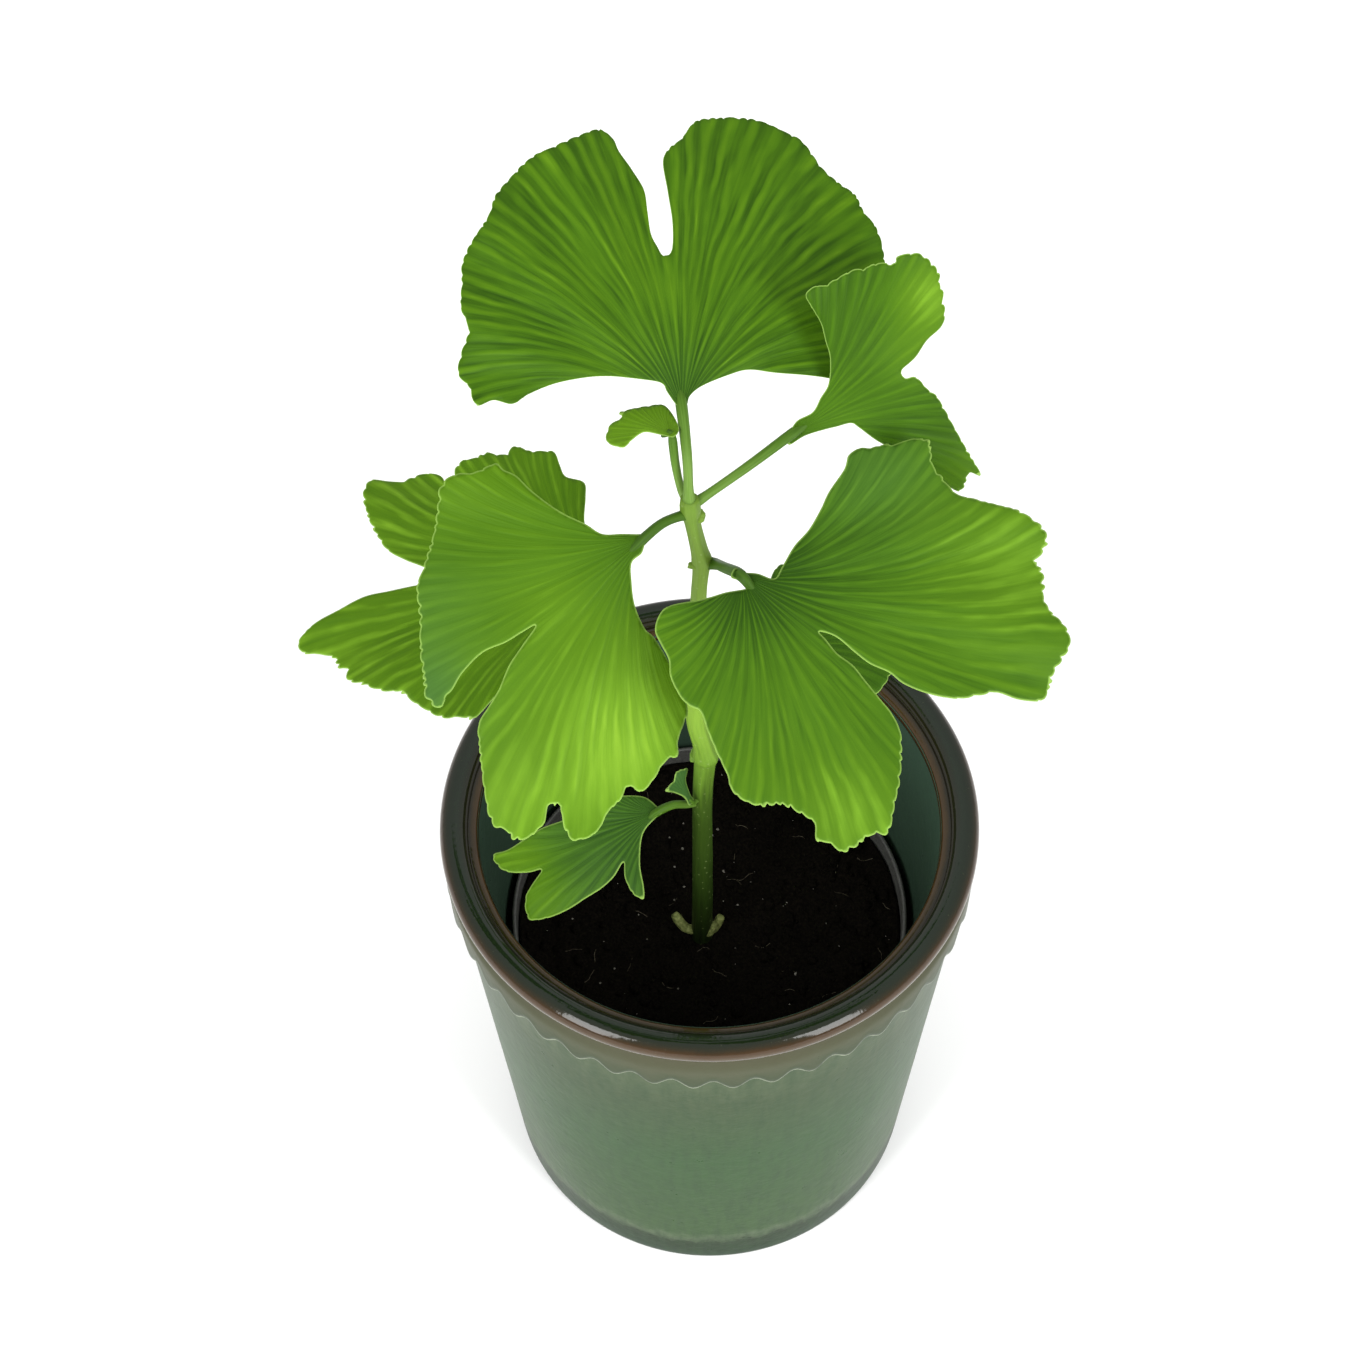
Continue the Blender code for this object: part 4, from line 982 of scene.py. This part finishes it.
def leaf_tones(leaf, x, y):
    """Tone, coolness and streak at a place on the blade."""
    tone = leaf["tone"]
    cool = leaf["cool"]
    # Patches at a blade's base that lower its tone are painted shade in the fold there.
    for right, forward, size, lighter, cooler in leaf["patches"]:
        weight = math.exp(-((x - right) ** 2 + (y - forward) ** 2) / (2 * size**2))
        tone += lighter * weight
        cool += cooler * weight
    return tone, min(1.0, max(0.0, cool)), leaf["streak"]


def grid_spots(outline, spacing):
    """Points in rows over the outline's box, every second row half a step aside."""
    xs = [p.x for p in outline]
    ys = [p.y for p in outline]
    rise = spacing * math.sqrt(0.75)
    spots = []
    for row in range(math.ceil((max(ys) - min(ys)) / rise)):
        for column in range(math.ceil((max(xs) - min(xs)) / spacing) + 1):
            spots.append((min(xs) + (column + 0.5 * (row % 2)) * spacing, min(ys) + (row + 0.5) * rise))
    return np.array(spots)


def blade(leaf, seed):
    """The blade's points, faces and attributes, both faces and the wall between them."""
    draw = random.Random(seed)
    outline = toothed(smooth_route(leaf["outline"], MARGIN_STEP, closed=True), leaf, draw)
    spots = grid_spots(outline, BLADE_GRID)
    spots = spots[margin_distance(spots, outline) > BLADE_GRID * 0.45]
    inner = [Vector(p) for p in spots.tolist()]
    rim = list(range(len(outline)))
    flat, _, faces, _, _, _ = delaunay_2d_cdt(outline + inner, [], [rim], 1, 0.0001)
    margins = margin_distance(np.array([p.to_tuple() for p in flat]), outline)
    place = leaf_frame(leaf)
    points = []
    fan = []
    for side in (0.5, -0.5):
        for p, margin in zip(flat, margins):
            away = max(0.0, float(margin))
            half = side * BLADE_THICKNESS * min(1.0, EDGE_SHARE + away)
            height = blade_height(leaf, p.x, p.y) + ridge_height(leaf, p.x, p.y, seed)
            points.append(place @ Vector((p.x, p.y, height + half)))
            fan.append((vein_number(leaf, p.x, p.y) + seed * 3, p.length, away * leaf["plain_edge"]))
    tones = [leaf_tones(leaf, p.x, p.y) for p in flat] * 2
    under = [0.0] * len(flat) + [1.0] * len(flat)
    count = len(flat)
    sides = [(a, b) for face in faces for a, b in zip(face, face[1:] + face[:1])]
    known = set(sides)
    wall = [(b, a, a + count, b + count) for a, b in sides if (b, a) not in known]
    lower = [tuple(i + count for i in reversed(face)) for face in faces]
    return points, [tuple(face) for face in faces] + lower + wall, dict(fan=fan, tones=tones, under=under)


def leaf_stalk(leaf):
    """Rings of points along the stalk, from inside the stem to the rib it ends in under the blade."""
    place = leaf_frame(leaf)
    length = min(RIB_LENGTH, leaf["reach"] * 0.16)
    rib = []
    for forward in (0.0, length * 0.5, length):
        drop = 0.2 + RIB_DROP * forward / length
        rib.append(place @ Vector((0.0, forward, blade_height(leaf, 0.0, forward) - drop)))
    first = leaf["stalk"][0]
    root, _ = stem_at(first[2] - 1.2)
    route = smooth_route([root] + [Vector(p) for p in leaf["stalk"]] + rib, STALK_STEP)
    start, end = leaf["stalk_radii"]
    count = len(route)
    radii = []
    for i in range(count):
        share = i / (count - 1)
        swell = start + (end - start) * min(1.0, share * 1.5) + 0.7 * start * math.exp(-share * 14)
        radii.append(swell * (1.0 if share < 0.75 else 1.0 - 2.6 * (share - 0.75)))

    def grooved(angle, _):
        return 1 + 0.05 * math.cos(3 * angle)

    return tube_rings(route, radii, STALK_SIDES, grooved)


def build_leaf(name, leaf, seed, finishes):
    points, faces, values = blade(leaf, seed)
    kinds = [0] * len(faces)
    rings = leaf_stalk(leaf)
    graft(points, faces, *skin(rings))
    kinds += [1] * (len(faces) - len(kinds))
    values["fan"] += ring_fan(rings, [STALK_STEP * i for i in range(len(rings) - 2)])
    for i, ring in enumerate(rings):
        darker = max(0.0, i / (len(rings) - 1) - STALK_PALE_SHARE) / (1 - STALK_PALE_SHARE)
        tone = leaf["stalk_tone"] + (STALK_END_TONE - leaf["stalk_tone"]) * darker
        values["tones"] += [(tone, 0.0, 0.0)] * len(ring)
    values["under"] += [0.0] * (len(points) - len(values["under"]))
    add_piece(name + "_blade", points, faces, finishes, [name], kinds, values)


def build_floor():
    mesh = bpy.data.meshes.new("studio_floor")
    corners = [(x * FLOOR_REACH, y * FLOOR_REACH, 0) for x, y in ((-1, -1), (1, -1), (1, 1), (-1, 1))]
    mesh.from_pydata(corners, [], [(0, 1, 2, 3)])
    mesh.materials.append(floor_finish())
    floor = add_object("studio_floor", mesh)


def softbox(name, place):
    """An area light that faces the target."""
    data = bpy.data.lights.new(name, "AREA")
    data.shape = "RECTANGLE"
    data.size, data.size_y = SOFTBOX_SIZE
    data.energy = SOFTBOX_POWER
    lamp = add_object(name, data)
    lamp.location = place
    lamp.rotation_euler = (Vector(SOFTBOX_TARGET) - Vector(place)).to_track_quat("-Z", "Y").to_euler()


def build_surround():
    """A plain white surround, brighter overhead than at the horizon."""
    world = bpy.data.worlds.new("studio")
    world.use_nodes = True
    tree = world.node_tree
    shade = tree.nodes["Background"]
    shade.inputs["Color"].default_value = (1.0, 1.0, 1.0, 1.0)
    across = tree.nodes.new("ShaderNodeSeparateXYZ")
    tree.links.new(tree.nodes.new("ShaderNodeTexCoord").outputs["Generated"], across.inputs[0])
    sky = tree.nodes.new("ShaderNodeMapRange")
    tree.links.new(across.outputs["Z"], sky.inputs["Value"])
    sky.inputs["To Min"].default_value = HORIZON_LIGHT
    sky.inputs["To Max"].default_value = CEILING_LIGHT
    tree.links.new(sky.outputs["Result"], shade.inputs["Strength"])
    bpy.context.scene.world = world


def build_camera():
    camera = add_object("camera", bpy.data.cameras.new("camera"))
    camera.data.lens = CAMERA_LENS
    camera.data.sensor_width = CAMERA_SENSOR
    camera.data.clip_start = 0.01
    camera.matrix_world = (
        Matrix.Translation(CAMERA_PLACE)
        @ Matrix.Rotation(math.radians(90 - CAMERA_LOOKS_DOWN), 4, "X")
        @ Matrix.Rotation(math.radians(CAMERA_ROLL), 4, "Z")
    )
    bpy.context.scene.camera = camera


def build_studio():
    build_floor()
    build_surround()
    aside, ahead, height = SOFTBOX_PLACE
    softbox("softbox_left", (-aside, ahead, height))
    softbox("softbox_right", (aside, ahead, height))
    bpy.context.scene.view_settings.view_transform = "Standard"
    build_camera()


build_pot()
build_nursery_pot()
build_soil()
build_stem()
leaf_looks = [leaf_finish(), stalk_finish()]
for number, (leaf_name, leaf_values) in enumerate(LEAVES.items()):
    build_leaf(leaf_name, leaf_values, number + 1, leaf_looks)
build_studio()
